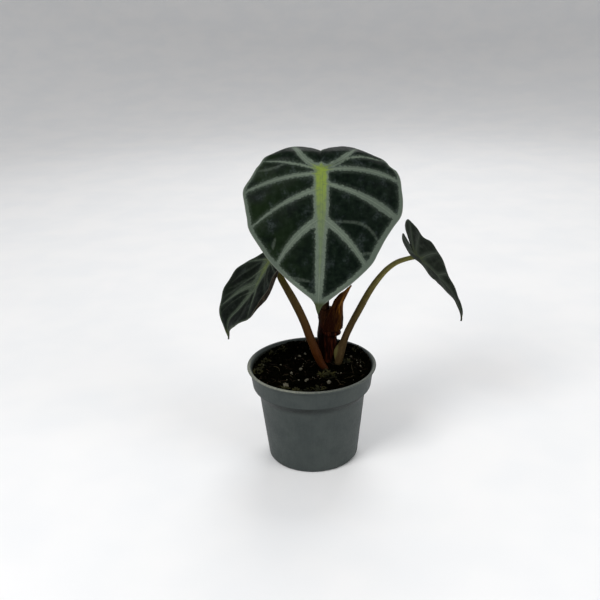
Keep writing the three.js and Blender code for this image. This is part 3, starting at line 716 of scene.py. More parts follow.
# %% Peat
tree = blank("peat")
clouds = use_group(tree, GRAIN, Vector=millimetres(tree), Scale=0.45)
colour = ramp(tree, clouds["Grain"], [
    (0.0, (0, 0, 0)), (0.5, (2, 2, 1)), (0.8, (7, 6, 3)), (1.0, (22, 17, 9)),
])
colour = glaze(tree, colour, clouds["Clouds"], 0.35, (8, 11, 4))
peat = finish("peat", colour, 0.95, clouds["Grain"], 0.25, {"Specular IOR Level": 0.0})
dress(soil, "soil", "soil", peat)

# %% [markdown]
# ## Loose bits in the soil
# The potting mix holds peat crumbs, white perlite, brown fibres and pale rootlets. A particle system could
# scatter them, but its copies are lost on export, so each scatter is one array of placed, turned and
# stretched grains in a single mesh. A grain is a small ball of rings whose radii are drawn at random, so no
# two are alike. The larger bits of perlite lie where the photograph shows them, and the rest are scattered.

# %% Scattered grains
GRAIN_RINGS, GRAIN_SIDES = 6, 8
HIGHEST_GRAIN = 0.9
CRUMB_COUNT, STREWN_COUNT = 950, 46


def on_soil(draw, count, inner=0.0, outer=SOIL_RADIUS - 0.7):
    """Random places on the soil, evenly spread by the square root of a random share."""
    radius = np.sqrt(inner ** 2 + (outer ** 2 - inner ** 2) * draw.random(count))
    angle = 2 * np.pi * draw.random(count)
    return np.stack([radius * np.cos(angle), radius * np.sin(angle)], axis=-1)


def turns(draw, count):
    """Random rotation matrices from random unit quaternions."""
    w, x, y, z = (lambda q: q / np.linalg.norm(q, axis=0))(draw.standard_normal((4, count)))
    return np.stack([
        np.stack([1 - 2 * (y * y + z * z), 2 * (x * y - w * z), 2 * (x * z + w * y)], -1),
        np.stack([2 * (x * y + w * z), 1 - 2 * (x * x + z * z), 2 * (y * z - w * x)], -1),
        np.stack([2 * (x * z - w * y), 2 * (y * z + w * x), 1 - 2 * (x * x + y * y)], -1),
    ], axis=-2)


def grains(name, draw, places, sizes, flat=0.7, sunk=0.2):
    """Lumpy balls: latitude rings with random radii, squashed, turned, scaled and set on the soil."""
    count = len(places)
    lumps = 1 + 0.45 * (draw.random((count, GRAIN_RINGS, GRAIN_SIDES)) - 0.5)
    lumps[:, [0, -1]] = lumps[:, [0, -1], :1]
    squash = flat + (1.5 - flat) * draw.random((count, 1, 1, 3))
    shape = ball_points(GRAIN_RINGS, GRAIN_SIDES) * lumps[..., None] * squash
    shape = np.einsum("nij,nrsj->nrsi", turns(draw, count), shape) * np.reshape(sizes, (-1, 1, 1, 1))
    height = crumbled(places[:, 0], places[:, 1]) + np.asarray(sizes) * (0.6 - sunk)
    middle = np.concatenate([places, height[:, None]], axis=1)
    middle[:, 2] = np.minimum(middle[:, 2], POT_HEIGHT + HIGHEST_GRAIN)
    return looped(name, shape + middle[:, None, None])


draw = np.random.default_rng(23)
crumb_places = on_soil(draw, CRUMB_COUNT)
crumbs = grains("peat_crumbs", draw, crumb_places, 0.22 + 0.55 * draw.random(CRUMB_COUNT) ** 2.2)
dress(crumbs, None, "soil", peat)

# Bits of perlite that the photograph shows, as (x, y, size).
PERLITE = [
    (-7.8, 8.5, 0.55), (-5.6, 10.2, 0.6), (-9.4, -7.3, 0.6), (-5.1, -3.1, 0.7), (-11.5, -19.1, 0.95),
    (-2.4, -14.2, 0.9), (-1.9, -15.6, 0.75), (-6, -13.8, 0.45), (0.7, -13, 0.6), (7.5, -18.3, 0.75),
    (18.8, 8, 0.65), (-3, 12.9, 0.55), (-14.5, 2.8, 0.6), (-15.2, 5, 0.45), (22.5, -3.5, 0.5),
    (21.5, 0.8, 0.45),
]
known = np.array(PERLITE)
strewn = on_soil(draw, STREWN_COUNT)
perlite_places = np.concatenate([known[:, :2], strewn])
perlite_sizes = np.concatenate([known[:, 2], 0.16 + 0.24 * draw.random(STREWN_COUNT)])
perlite = grains("perlite_bits", draw, perlite_places, perlite_sizes, flat=0.75, sunk=0.25)

tree = blank("perlite white")
clouds = use_group(tree, GRAIN, Vector=millimetres(tree), Scale=0.8)
colour = blend(tree, clouds["Clouds"], (70, 66, 50), (112, 109, 95))
colour = glaze(tree, colour, clouds["Grain"], 0.5, (66, 60, 42))
perlite_white = finish("perlite white", colour, 0.9, clouds["Grain"], 0.15, {"Specular IOR Level": 0.2})
dress(perlite, None, "soil", perlite_white)

# %% [markdown]
# ## Fibres, rootlets and moss
# Fibres are thin closed tubes: a path that arches over the crumbs, with a small ring of points at each
# step. Moss is a tuft of the same tubes, short, tapered and leaning out from its middle. All tubes of a
# kind are computed together as one array of (thread, step, side).

# %% Threads
THREAD_SIDES = 5
# A direction that no thread follows, so that a vector square to both is never zero.
SLANT = [0.31, 0.2, 0.93]
FIBRE_COUNT, FIBRE_STEPS, ROOTLET_STEPS = 150, 9, 14


def threads(name, paths, radii):
    """Closed tubes along paths (count, steps, 3), with radii (count, steps): rings across each path."""
    way = unit(np.gradient(paths, axis=1))
    beside = unit(np.cross(way, SLANT))
    over = np.cross(way, beside)
    turn = full_turn(THREAD_SIDES)
    ring = np.cos(turn)[:, None] * beside[..., None, :] + np.sin(turn)[:, None] * over[..., None, :]
    rings = paths[:, :, None] + ring * radii[..., None, None]
    ends = [np.repeat(paths[:, k, None, None], THREAD_SIDES, axis=2) for k in (0, -1)]
    return looped(name, np.concatenate([ends[0], rings, ends[1]], axis=1))


def lying(draw, starts, ends, steps, lift=0.5, wander=0.8):
    """Paths over the soil from start to end: a straight run, a sideways wander and a low arch, on the
    crumbs."""
    share = np.linspace(0, 1, steps)[None, :, None]
    flat = starts[:, None] * (1 - share) + ends[:, None] * share
    run = ends - starts
    side = unit(np.stack([-run[:, 1], run[:, 0]], -1))
    swing = (draw.random((len(starts), 1, 1)) - 0.5) * wander * 2
    flat = flat + side[:, None] * np.sin(np.pi * share) * swing
    reach = np.linalg.norm(flat, axis=-1, keepdims=True)
    flat = flat * np.minimum(1, (SOIL_RADIUS - 0.3) / reach)
    arch = lift * draw.random((len(starts), 1)) * np.sin(np.pi * share[..., 0])
    x, y = flat[..., 0], flat[..., 1]
    height = crumbled(x, y) * 0.4 + soil_height(x, y) * 0.6 + 0.25
    return np.concatenate([flat, (height + arch)[..., None]], axis=-1)


def thin_ends(count, radius, steps):
    """Radii along each thread: full in the middle and half at the ends."""
    share = np.linspace(0, 1, steps)
    return np.reshape(radius, (-1, 1)) * np.ones((count, 1)) * (0.5 + 0.5 * np.sin(np.pi * share) ** 0.5)


fibre_starts = on_soil(draw, FIBRE_COUNT)
fibre_aims = draw.random(FIBRE_COUNT) * 2 * np.pi
fibre_lengths = 1.2 + 3.6 * draw.random((FIBRE_COUNT, 1))
fibre_ends = fibre_starts + fibre_lengths * np.stack([np.cos(fibre_aims), np.sin(fibre_aims)], -1)
fibre_paths = lying(draw, fibre_starts, fibre_ends, FIBRE_STEPS)
fibre_radii = 0.05 + 0.08 * draw.random(FIBRE_COUNT)
fibres = threads("soil_fibres", fibre_paths, thin_ends(FIBRE_COUNT, fibre_radii, FIBRE_STEPS))

# Both ends of each rootlet that the photograph shows, as (x, y, x, y).
ROOTLETS = np.array([
    (8.2, -12.7, 15, -19.5), (18.9, 1.3, 19.1, -10.3), (-19.9, 1.1, -14.6, -5.5), (10, -14, 13.4, -21.5),
    (4, -17, 9.5, -12.4), (-18, -12, -13, -17.5), (21, 4, 24.5, -4), (-14, -9, -8.5, -11.5),
    (14.5, -14, 20, -12.2),
])
rootlet_paths = lying(draw, ROOTLETS[:, :2], ROOTLETS[:, 2:], ROOTLET_STEPS, 1.0, 1.6)
rootlets = threads("pale_rootlets", rootlet_paths, thin_ends(len(ROOTLETS), 0.1, ROOTLET_STEPS))


def tufts(name, draw, table, length, radius, steps):
    """Moss: short tapered threads that start round each middle, lean away from it and curl over."""
    table = np.asarray(table, float)
    counts = table[:, 3].astype(int)
    middle, spread = np.repeat(table[:, :2], counts, axis=0), np.repeat(table[:, 2], counts)
    total = len(middle)
    angle = 2 * np.pi * draw.random(total)
    out = np.stack([np.cos(angle), np.sin(angle)], -1)
    root = middle + out * (spread * np.sqrt(draw.random(total)))[:, None]
    root *= np.minimum(1, (SOIL_RADIUS - 0.4) / np.linalg.norm(root, axis=1))[:, None]
    share = np.linspace(0, 1, steps)[None, :, None]
    size = length * (0.5 + draw.random((total, 1, 1)))
    lean = 0.5 + 0.7 * draw.random((total, 1, 1))
    flat = root[:, None] + out[:, None] * size * lean * share ** 1.4
    height = crumbled(root[:, 0], root[:, 1])[:, None, None] - 0.1 + size * (share - 0.35 * share ** 2)
    taper = radius * (0.35 + np.sin(np.pi * (0.15 + 0.8 * share[..., 0])))
    return threads(name, np.concatenate([flat, height], axis=-1), taper * np.ones((total, 1)))


# Tufts of moss, as (x, y, spread, number of threads).
MOSS = [
    (6.2, -10.4, 2.3, 150), (8.9, -11.4, 1.9, 90), (-25, -4.2, 2.0, 90), (-23.5, 1.5, 1.9, 70),
    (-21.7, 7.5, 2.0, 60), (-6.5, -24.6, 2.2, 80), (-1.5, -24.2, 1.6, 60), (3.5, -23.6, 2.4, 90),
    (-12.5, -22.3, 1.8, 60), (11.4, 2.4, 1.5, 60), (16.2, 2.4, 1.6, 60), (-18.2, 15.5, 2.0, 60),
    (-14, 19.5, 1.8, 50), (21.5, 14.5, 1.6, 40), (1.5, 23.5, 2, 40),
]
SEEDLINGS = [(6.6, -8.6, 0.5, 5), (4.9, -10.9, 0.7, 7), (8.3, -10.2, 0.6, 5)]
moss = tufts("moss_tufts", draw, MOSS, length=0.85, radius=0.17, steps=4)
seedlings = tufts("seedlings", draw, SEEDLINGS, length=2.1, radius=0.34, steps=6)


def plain_material(name, dark, light, roughness, scale=0.9):
    """Material for small bits: clouds between two colours, with grain in the roughness and the bump."""
    tree = blank(name)
    clouds = use_group(tree, GRAIN, Vector=millimetres(tree), Scale=scale)
    colour = blend(tree, clouds["Clouds"], dark, light)
    colour = glaze(tree, colour, clouds["Grain"], 0.3, 0.5 * np.array(dark))
    rough = maths(tree, "MULTIPLY_ADD", clouds["Grain"], 0.15, roughness)
    return finish(name, colour, rough, clouds["Grain"], 0.05, {"Specular IOR Level": 0.15})


dress(fibres, None, "soil", plain_material("fibre brown", (14, 10, 5), (52, 36, 20), 0.8))
dress(rootlets, None, "soil", plain_material("rootlet straw", (34, 29, 17), (66, 58, 38), 0.75))
dress(moss, None, "soil", plain_material("moss green", (14, 17, 4), (48, 46, 16), 0.8, 0.3))
dress(seedlings, None, "soil", plain_material("seedling green", (24, 25, 6), (56, 53, 20), 0.7))

# %% [markdown]
# ## Sheath bundle
# The middle of the plant is a stem wrapped in the dried bases of old leaves. It is a tube whose radius is a
# function of height and angle: a plain profile, the oblique edges where one sheath ends on the next, a
# torn collar that bulges to the right, and fine ribs and wrinkles that follow the fibres upwards.

# %% Bundle shape
# Sections as (height, x, y, radius).
BUNDLE_SECTIONS = np.array([
    (34, 7.6, 5.2, 3.1), (35.5, 7.6, 5.2, 3.9), (46.6, 7.6, 5.2, 3.9), (52, 7.5, 5.4, 4.3),
    (57.5, 7.5, 5.4, 4.6), (63, 8, 5.2, 4.4), (68, 7.8, 5.2, 3.9), (71, 7.5, 5.2, 3.5),
])
BUNDLE_EASE = 1.5
RELIEF_FROM, RELIEF_FULL = 46.6, 50.6
COLLAR_HEIGHT, COLLAR_SWELL = 59.6, 1.9
# Edges where one sheath ends on the next, as (step, climb in half turns per millimetre, start).
WRAPS = [(0.4, -0.045, 0), (0.25, 0.06, 2.1)]


def saw(turns_round):
    """Sawtooth from -0.5 to 0.5, whose jump is eased over a fiftieth of a turn."""
    part = turns_round - np.floor(turns_round)
    return part - 0.5 - smooth_share(0.98, 1.0, part)


def bundle_points(rows=210, sides=150):
    """Centre and radius by height and angle: profile + sheath edges + collar + ribs, wrinkles and lumps."""
    z = np.linspace(BUNDLE_SECTIONS[0, 0], BUNDLE_SECTIONS[-1, 0], rows)[:, None]
    angle = full_turn(sides)[None]
    x, y, plain = (eased(BUNDLE_SECTIONS[:, [0, k]], z, BUNDLE_EASE) for k in (1, 2, 3))
    above = smooth_share(RELIEF_FROM, RELIEF_FULL, z)
    wrapped = sum(step * saw((angle + climb * z * np.pi + start) / (2 * np.pi)) for step, climb, start in WRAPS)
    round_way = np.stack([9 * np.cos(angle) + 0 * z, 9 * np.sin(angle) + 0 * z, 0.16 * z + 0 * angle], axis=-1)
    wrinkles = 0.16 * bumps(round_way, 2.6, 6) + 0.09 * bumps(round_way, 0.9, 7)
    ribs = 0.06 * np.sin(26 * angle + 0.2 * z) + 0.03 * np.sin(61 * angle - 0.3 * z)
    up = z - COLLAR_HEIGHT + 0.8 * np.cos(angle) + 0.5 * bumps(round_way * [1, 1, 0], 2.0, 8)
    torn = np.where(up > 0, np.exp(-(up / 2.0) ** 2), np.exp(-(up / 0.8) ** 2))
    collar = COLLAR_SWELL * torn * (0.5 + 0.5 * np.cos(angle - 0.1)) ** 2
    radius = plain + above * (wrapped + wrinkles + ribs) + collar
    grid = np.stack([x + radius * np.cos(angle), y + radius * np.sin(angle), z + 0 * angle], axis=-1)
    return grid, {"collar_up": up + 0 * angle}


bundle_grid, bundle_values = bundle_points()
bundle = looped("old_sheaths", shut(bundle_grid), shut_values(bundle_values))

# %% [markdown]
# ## Old sheath finish
# Old sheaths are dark red-brown, nearly black where they are damp, with warm brown patches where one is
# thin and dry. A painted shade darkens a band just under the torn collar. A scanned bark picture would not
# fit its wraps. Streaks that follow the fibres come instead from noise in coordinates that are stretched
# along the height.

# %% Old sheath finish
tree = blank("old sheath")
spot = millimetres(tree)
upright = stretched(tree, spot, (1.0, 1.0, 0.16))
clouds = use_group(tree, GRAIN, Vector=upright, Scale=0.5)
thin = noise(tree, upright, 2.6, 4.0)
colour = ramp(tree, maths(tree, "MULTIPLY_ADD", thin, 0.6, times(tree, clouds["Clouds"], 0.4)), [
    (0.25, (7, 1, 0)), (0.44, (22, 5, 3)), (0.58, (50, 20, 8)), (0.8, (78, 40, 18)),
])
height = coordinates(tree, spot)[2]
upper = times(tree, fade(tree, height, 62.5, 67.0), 0.75)
colour = blend(tree, upper, colour, ramp(tree, thin, [(0.3, (30, 14, 6)), (0.7, (52, 31, 13))]))
# Painted shade: a dark band just under the torn collar, where it overhangs the sheaths below.
under = times(tree, fade(tree, read(tree, "collar_up"), 0.3, -1.0), fade(tree, height, 55.5, 59.0))
colour = glaze(tree, colour, under, 0.7, (4, 1, 1))
gloss = maths(tree, "MULTIPLY_ADD", clouds["Grain"], 0.25, 0.38)
old_sheath = finish("old sheath", colour, gloss, thin, 0.12, {"Specular IOR Level": 0.02})
dress(bundle, "sheath_bundle", "old_sheath", old_sheath)

# %% [markdown]
# ## Dry sheath
# One papery sheath peels away on the right and ends in a ragged tip. It is a thin curved sheet: at each
# share of its length a piece of a circle, with a middle, a radius and an opening angle. The loop of points
# runs along its outside, round one edge, back along its inside and round the other edge, so the sheet is
# closed with soft edges. A cloth simulation could crumple a flat strip, but it wouldn't end where the
# photograph shows the tip.

# %% Dry sheath
# Sections as (share of the length, x, y, z, radius, half the opening angle in degrees).
DRY_SECTIONS = np.array([
    (0, 8.4, 5, 61.6, 5.9, 92), (0.2, 8.7, 5, 66, 5.9, 86), (0.42, 9.3, 5, 70.4, 5.2, 74),
    (0.6, 9.8, 4.8, 74, 4.9, 66), (0.8, 11.8, 4.5, 78.4, 4.7, 64), (0.92, 14, 4.2, 81.2, 3.8, 60),
    (1, 16.2, 4, 83, 2.4, 40),
])
DRY_FACING = math.radians(-28)
DRY_CLEARANCE, HALF_THICK = 0.35, 0.2
EDGE_STEPS = 5


def sheet_loop(outer, inner):
    """Loop of points round a thin sheet given by two grids: out along one, back along the other, with round
    edges."""
    def edge(a, b, before):
        """Half circle from a to b, bulging away from the points before."""
        middle, half = (a + b) / 2, (a - b) / 2
        out = unit(middle - before)
        turn = np.linspace(0, np.pi, EDGE_STEPS + 2)[1:-1]
        thick = np.linalg.norm(half, axis=-1, keepdims=True)
        return (middle[:, None] + half[:, None] * np.cos(turn)[None, :, None]
                + (out * thick)[:, None] * np.sin(turn)[None, :, None])
    far = edge(outer[:, -1], inner[:, -1], (outer[:, -2] + inner[:, -2]) / 2)
    near = edge(inner[:, 0], outer[:, 0], (outer[:, 1] + inner[:, 1]) / 2)
    return np.concatenate([outer, far, inner[:, ::-1], near], axis=1)


def loop_values(outer, inner):
    """Values for the same loop: edge points blend the two sides."""
    turn = np.linspace(0, 1, EDGE_STEPS + 2)[1:-1]
    far = outer[:, -1:] * (1 - turn) + inner[:, -1:] * turn
    near = inner[:, :1] * (1 - turn) + outer[:, :1] * turn
    return np.concatenate([outer, far, inner[:, ::-1], near], axis=1)


def dry_points(rows=130, columns=80):
    """Pieces of circles up the sheath, with folds along it, crumpling, and a ragged edge and tip."""
    share = np.linspace(0, 1, rows)[:, None]
    x, y, z, radius, half = (eased(DRY_SECTIONS[:, [0, k]], share, 0.08) for k in range(1, 6))
    across = np.linspace(-1, 1, columns)[None]
    rag = 3.5 * bumps(np.stack([0 * share, 9 * share, 0 * share], -1), 0.7, 9) * np.abs(across) ** 4
    angle = DRY_FACING + np.radians(half * across + rag)
    fold = 0.18 * np.sin(5 * angle + 9 * share) * share + 0.12 * np.sin(17 * angle + 2 * share)
    spot = np.stack([5 * angle, 3.0 * share + 0 * angle, 0 * angle], -1)
    crumple = 0.28 * bumps(spot, 1.3, 10) * (0.4 + share) + 0.1 * bumps(spot, 0.5, 12)
    torn = share ** 8 * (1.1 * bumps(spot * [1, 0, 0], 0.8, 13) - 0.8 * across ** 2)
    reach = radius + DRY_CLEARANCE + fold + crumple
    thick = HALF_THICK * (1 - 0.6 * share ** 3)
    outer, inner = (
        np.stack([x + r * np.cos(angle), y + r * np.sin(angle), z + torn + 0 * angle], -1)
        for r in (reach + thick, reach - thick)
    )
    values = {
        "sheath_up": loop_values(share + 0 * angle, share + 0 * angle),
        "sheath_across": loop_values(across + 0 * angle, across + 0 * angle),
        "outside": loop_values(1 + 0 * angle, 0 * angle),
    }
    return sheet_loop(outer, inner), values


dry_grid, dry_values = dry_points()
dry = looped("peeling_sheath", shut(dry_grid), shut_values(dry_values))

# %% [markdown]
# ## Dry sheath colours
# The sheath is orange brown and streaked along its fibres, dark and damp low down and on its left edge,
# lighter orange at its thin tip, painted light that stands for light shining through it, and dull red-brown
# inside. The mesh carries how far up and across each point lies, so the colours follow the sheath where it
# bends.

# %% Dry sheath colours
tree = blank("dry sheath")
up, across = read(tree, "sheath_up"), read(tree, "sheath_across")
upright = stretched(tree, millimetres(tree), (1.0, 1.0, 0.14))
along_fibres = place(tree, "ShaderNodeCombineXYZ", {"X": times(tree, across, 6.0), "Y": times(tree, up, 20.0)})
streaks = use_group(tree, FIBRES, Vector=along_fibres.outputs[0], Scale=1.1)["Streaks"]
blotches = noise(tree, upright, 0.7, 3.0)
colour = ramp(tree, maths(tree, "MULTIPLY_ADD", streaks, 0.55, times(tree, blotches, 0.5)), [
    (0.25, (34, 11, 2)), (0.42, (62, 32, 8)), (0.6, (94, 58, 14)), (0.85, (126, 86, 28)),
])
colour = glaze(tree, colour, fade(tree, up, 0.6, 0.25), 0.8, (22, 7, 3))
# Painted light: the thin tip is made lighter orange, as if light shone through it.
colour = glaze(tree, colour, fade(tree, up, 0.72, 1.0), 0.75, (104, 70, 24))
left_edge = times(tree, fade(tree, across, -0.2, -0.6), fade(tree, up, 1.0, 0.85))
colour = glaze(tree, colour, left_edge, 0.85, (20, 3, 1))
colour = blend(tree, fade(tree, read(tree, "outside"), 0.6, 0.2), colour, (36, 14, 8))
dry_sheath = finish("dry sheath", colour, 0.6, streaks, 0.12, {"Specular IOR Level": 0.02})
dress(dry, "dry_sheath", "dry_sheath", dry_sheath)

# %% [markdown]
# ## Leaf stalks
# Each stalk is a round tube along a smooth curve through given points. A curve object with a bevel would
# do, but here the curve is computed, because the tube has to thicken at its foot, carry a thin wing on one
# of them, and spread where it joins the midrib. The curve is the CAD source's spline, which passes through
# all its points without overshooting, read at equal steps of its length.

# %% Stalk shape
STALK_SIDES, RING_STEP = 40, 0.55
FLARE_RUN, SEAT_RUN = 1.6, 2.2


def cubic(start, leave, end, arrive, t):
    """Smooth cubic: from start, leaving along one slope, to end, arriving along another, as t goes 0 to 1."""
    return ((2 * t ** 3 - 3 * t ** 2 + 1) * start + (t ** 3 - 2 * t ** 2 + t) * leave
            + (3 * t ** 2 - 2 * t ** 3) * end + (t ** 3 - t ** 2) * arrive)


def run_length(path):
    """Length run along a path at each of its points: the sum of its steps."""
    return np.concatenate([[0], np.cumsum(np.linalg.norm(np.diff(path, axis=0), axis=1))])


def spline(points, samples=3000):
    """Smooth curve through all the points: each stretch is a cubic whose end slopes weigh its neighbours by the
    square roots of their distances. The result is resampled at equal steps of length."""
    spots = np.asarray(points, float)
    spots = np.concatenate([[2 * spots[0] - spots[1]], spots, [2 * spots[-1] - spots[-2]]])
    gap = np.linalg.norm(np.diff(spots, axis=0), axis=1) ** 0.5
    share = np.linspace(0, 1, samples // (len(spots) - 3))[:, None]
    path = []
    for k in range(1, len(spots) - 2):
        p0, p1, p2, p3 = spots[k - 1:k + 3]
        d0, d1, d2 = gap[k - 1:k + 2]
        leave = ((p1 - p0) / d0 - (p2 - p0) / (d0 + d1) + (p2 - p1) / d1) * d1
        arrive = ((p2 - p1) / d1 - (p3 - p1) / (d1 + d2) + (p3 - p2) / d2) * d1
        path.append(cubic(p1, leave, p2, arrive, share))
    path = np.concatenate(path)
    length = run_length(path)
    even = np.linspace(0, length[-1], samples)
    return np.stack([np.interp(even, length, path[:, k]) for k in range(3)], axis=-1), length[-1]


def stalk(name, points, radii, side, normal, wing=None, flare=0.5):
    """Tube along the spline. Its radius follows the pairs, with slight lumps, faint ridges and a flare into
    the midrib. The last rings are slid along the stalk until the end lies flat in the blade."""
    path, length = spline(points)
    rows = int(length / RING_STEP)
    share = np.linspace(0, 1, rows)
    middle = np.stack([np.interp(share, np.linspace(0, 1, len(path)), path[:, k]) for k in range(3)], -1)
    way = unit(np.gradient(middle, axis=0))
    across = unit(side - way * (way @ side)[:, None])
    other = np.cross(way, across)
    angle = full_turn(STALK_SIDES)[None]
    mm_along = (share * length)[:, None]
    plain = eased(radii, share, 0.03)[:, None] + flare * np.exp(-((length - mm_along) / FLARE_RUN) ** 2)
    flat_way = [2.4 * np.cos(angle) + 0 * mm_along, 2.4 * np.sin(angle) + 0 * mm_along]
    bark = np.stack([*flat_way, 0.22 * mm_along + 0 * angle], -1)
    radius = plain * (1 + 0.035 * bumps(bark, 1.1, 14) + 0.012 * np.sin(11 * angle + 0.05 * mm_along))
    extra = 0 * radius
    if wing:
        spread = wing["width"] * np.exp(-((share - wing["at"]) / wing["spread"]) ** 2)[:, None]
        extra = spread * np.maximum(0, np.cos(angle)) ** wing["sharp"]
    rings = (middle[:, None] + across[:, None] * ((radius + extra) * np.cos(angle))[..., None]
             + other[:, None] * (radius * np.sin(angle))[..., None])
    late = smooth_share(length - SEAT_RUN, length, mm_along)[..., None]
    gap = ((middle[-1] - rings) @ normal)[..., None] / (way[-1] @ normal)
    drop = gap - ((middle[-1] - middle) @ normal)[:, None, None] / (way[-1] @ normal)
    rings = rings + late * drop * way[-1]
    values = {
        "stalk_up": share[:, None] + 0 * angle,
        "stalk_wing": extra,
        "stalk_skin": np.stack(np.broadcast_arrays(4 * angle / np.pi, mm_along, 0.0 * mm_along), -1),
    }
    made = looped(name, shut(rings), shut_values(values))
    print(f"  {name} is {length:.1f} mm long")
    return made


# %% [markdown]
# ## Stalk skin
# A stalk's skin is streaked along its length. Its colour changes from foot to leaf, so the mesh carries the
# share of the length at each point, and also the angle and the length in millimetres, in which noise can be
# stretched along the stalk. That follows every bend, which object coordinates wouldn't.

# %% Stalk skin
def stalk_material(name, stops, wing_tint, streak_tint):
    """Skin of a stalk: colours up its length, darker flecks and streaks along it, and a paler wing."""
    tree = blank(name)
    skin = read_vector(tree, "stalk_skin")
    streaks = use_group(tree, FIBRES, Vector=skin, Scale=1.3)["Streaks"]
    clouds = use_group(tree, GRAIN, Vector=stretched(tree, skin, (1.0, 0.35, 1.0)), Scale=0.7)
    up = shaken(tree, read(tree, "stalk_up"), clouds["Clouds"], 0.05)
    colour = ramp(tree, up, stops)
    colour = glaze(tree, colour, streaks, 0.45, streak_tint, "MULTIPLY")
    flecks = fade(tree, noise(tree, stretched(tree, skin, (1, 0.3, 1)), 5.0, 2.0), 0.56, 0.66)
    colour = glaze(tree, colour, flecks, 0.45, streak_tint, "MULTIPLY")
    colour = glaze(tree, colour, fade(tree, read(tree, "stalk_wing"), 0.25, 0.9), 0.8, wing_tint)
    dusted = use_group(tree, DUST, Colour=colour, Low=44.2, High=46.2)
    rough = maths(tree, "MULTIPLY_ADD", clouds["Grain"], 0.2, 0.42)
    return finish(name, dusted["Colour"], rough, streaks, 0.05, {"Specular IOR Level": 0.04})


# %% [markdown]
# ## How a blade is laid out
# Each leaf is drawn flat first, as it would lie pressed in a book: **a** is the distance from the midrib,
# **b** the distance from the stalk towards the tip. Rows run from the midrib to the margin and follow the
# side veins. The flat place is then bent along the midrib, folded along it, curled and swayed sideways, and
# the panels between the veins swell a little. The CAD source lays its blades out in the same way, so the
# finer blade lies on its CAD solid. A sculpted plane would also work, but here every vein stays a known
# line, and its distance in millimetres can drive both the relief and the colour.
#
# What is given twice is for the left half and then the right half, as the leaf faces us:
# - **base**, **direction**, **facing**: the stalk's end, the way of the midrib and the way the blade faces.
# - **outlines**: the margin from the notch to the tip, as (a, b).
# - **veins**: side veins as (b on the midrib, share of the outline where it ends, arch).
# - **vein_bands**, **margin_bands**: the pale band beside each vein and along the margin, as (share of its
#   length, millimetres). **midrib_band** and **core_band** are half the midrib's band and half its bright
#   centre, as (b, millimetres). **faint_veins** are small veins between the side veins, as (a, b).
# - **row_counts**, **columns**: rows between one side vein and the next, and points from midrib to margin.
# - **rolls**: how much of the margin curls over, as (b, millimetres).
# - **bend**, **tip_bend**, **tip_from**: turn of the midrib in radians per millimetre, and more near the tip.
# - **lobe_bend**, **lobe_reach**, **lobe_lift**: how the lobes behind the stalk turn and how far they rise.
# - **folds**: the angle of each half, as (b, radians). **curl** bends it on, **droop** lowers the shoulders.
# - **sways**: sideways shifts as (millimetres, b in the middle, width).
# - **quilt**, **wave**, **rib**, **rib_width**, **side_rib**: how far the panels swell, the margin's ripple as
#   (height, turns in radians per millimetre), and the ribs on the back.

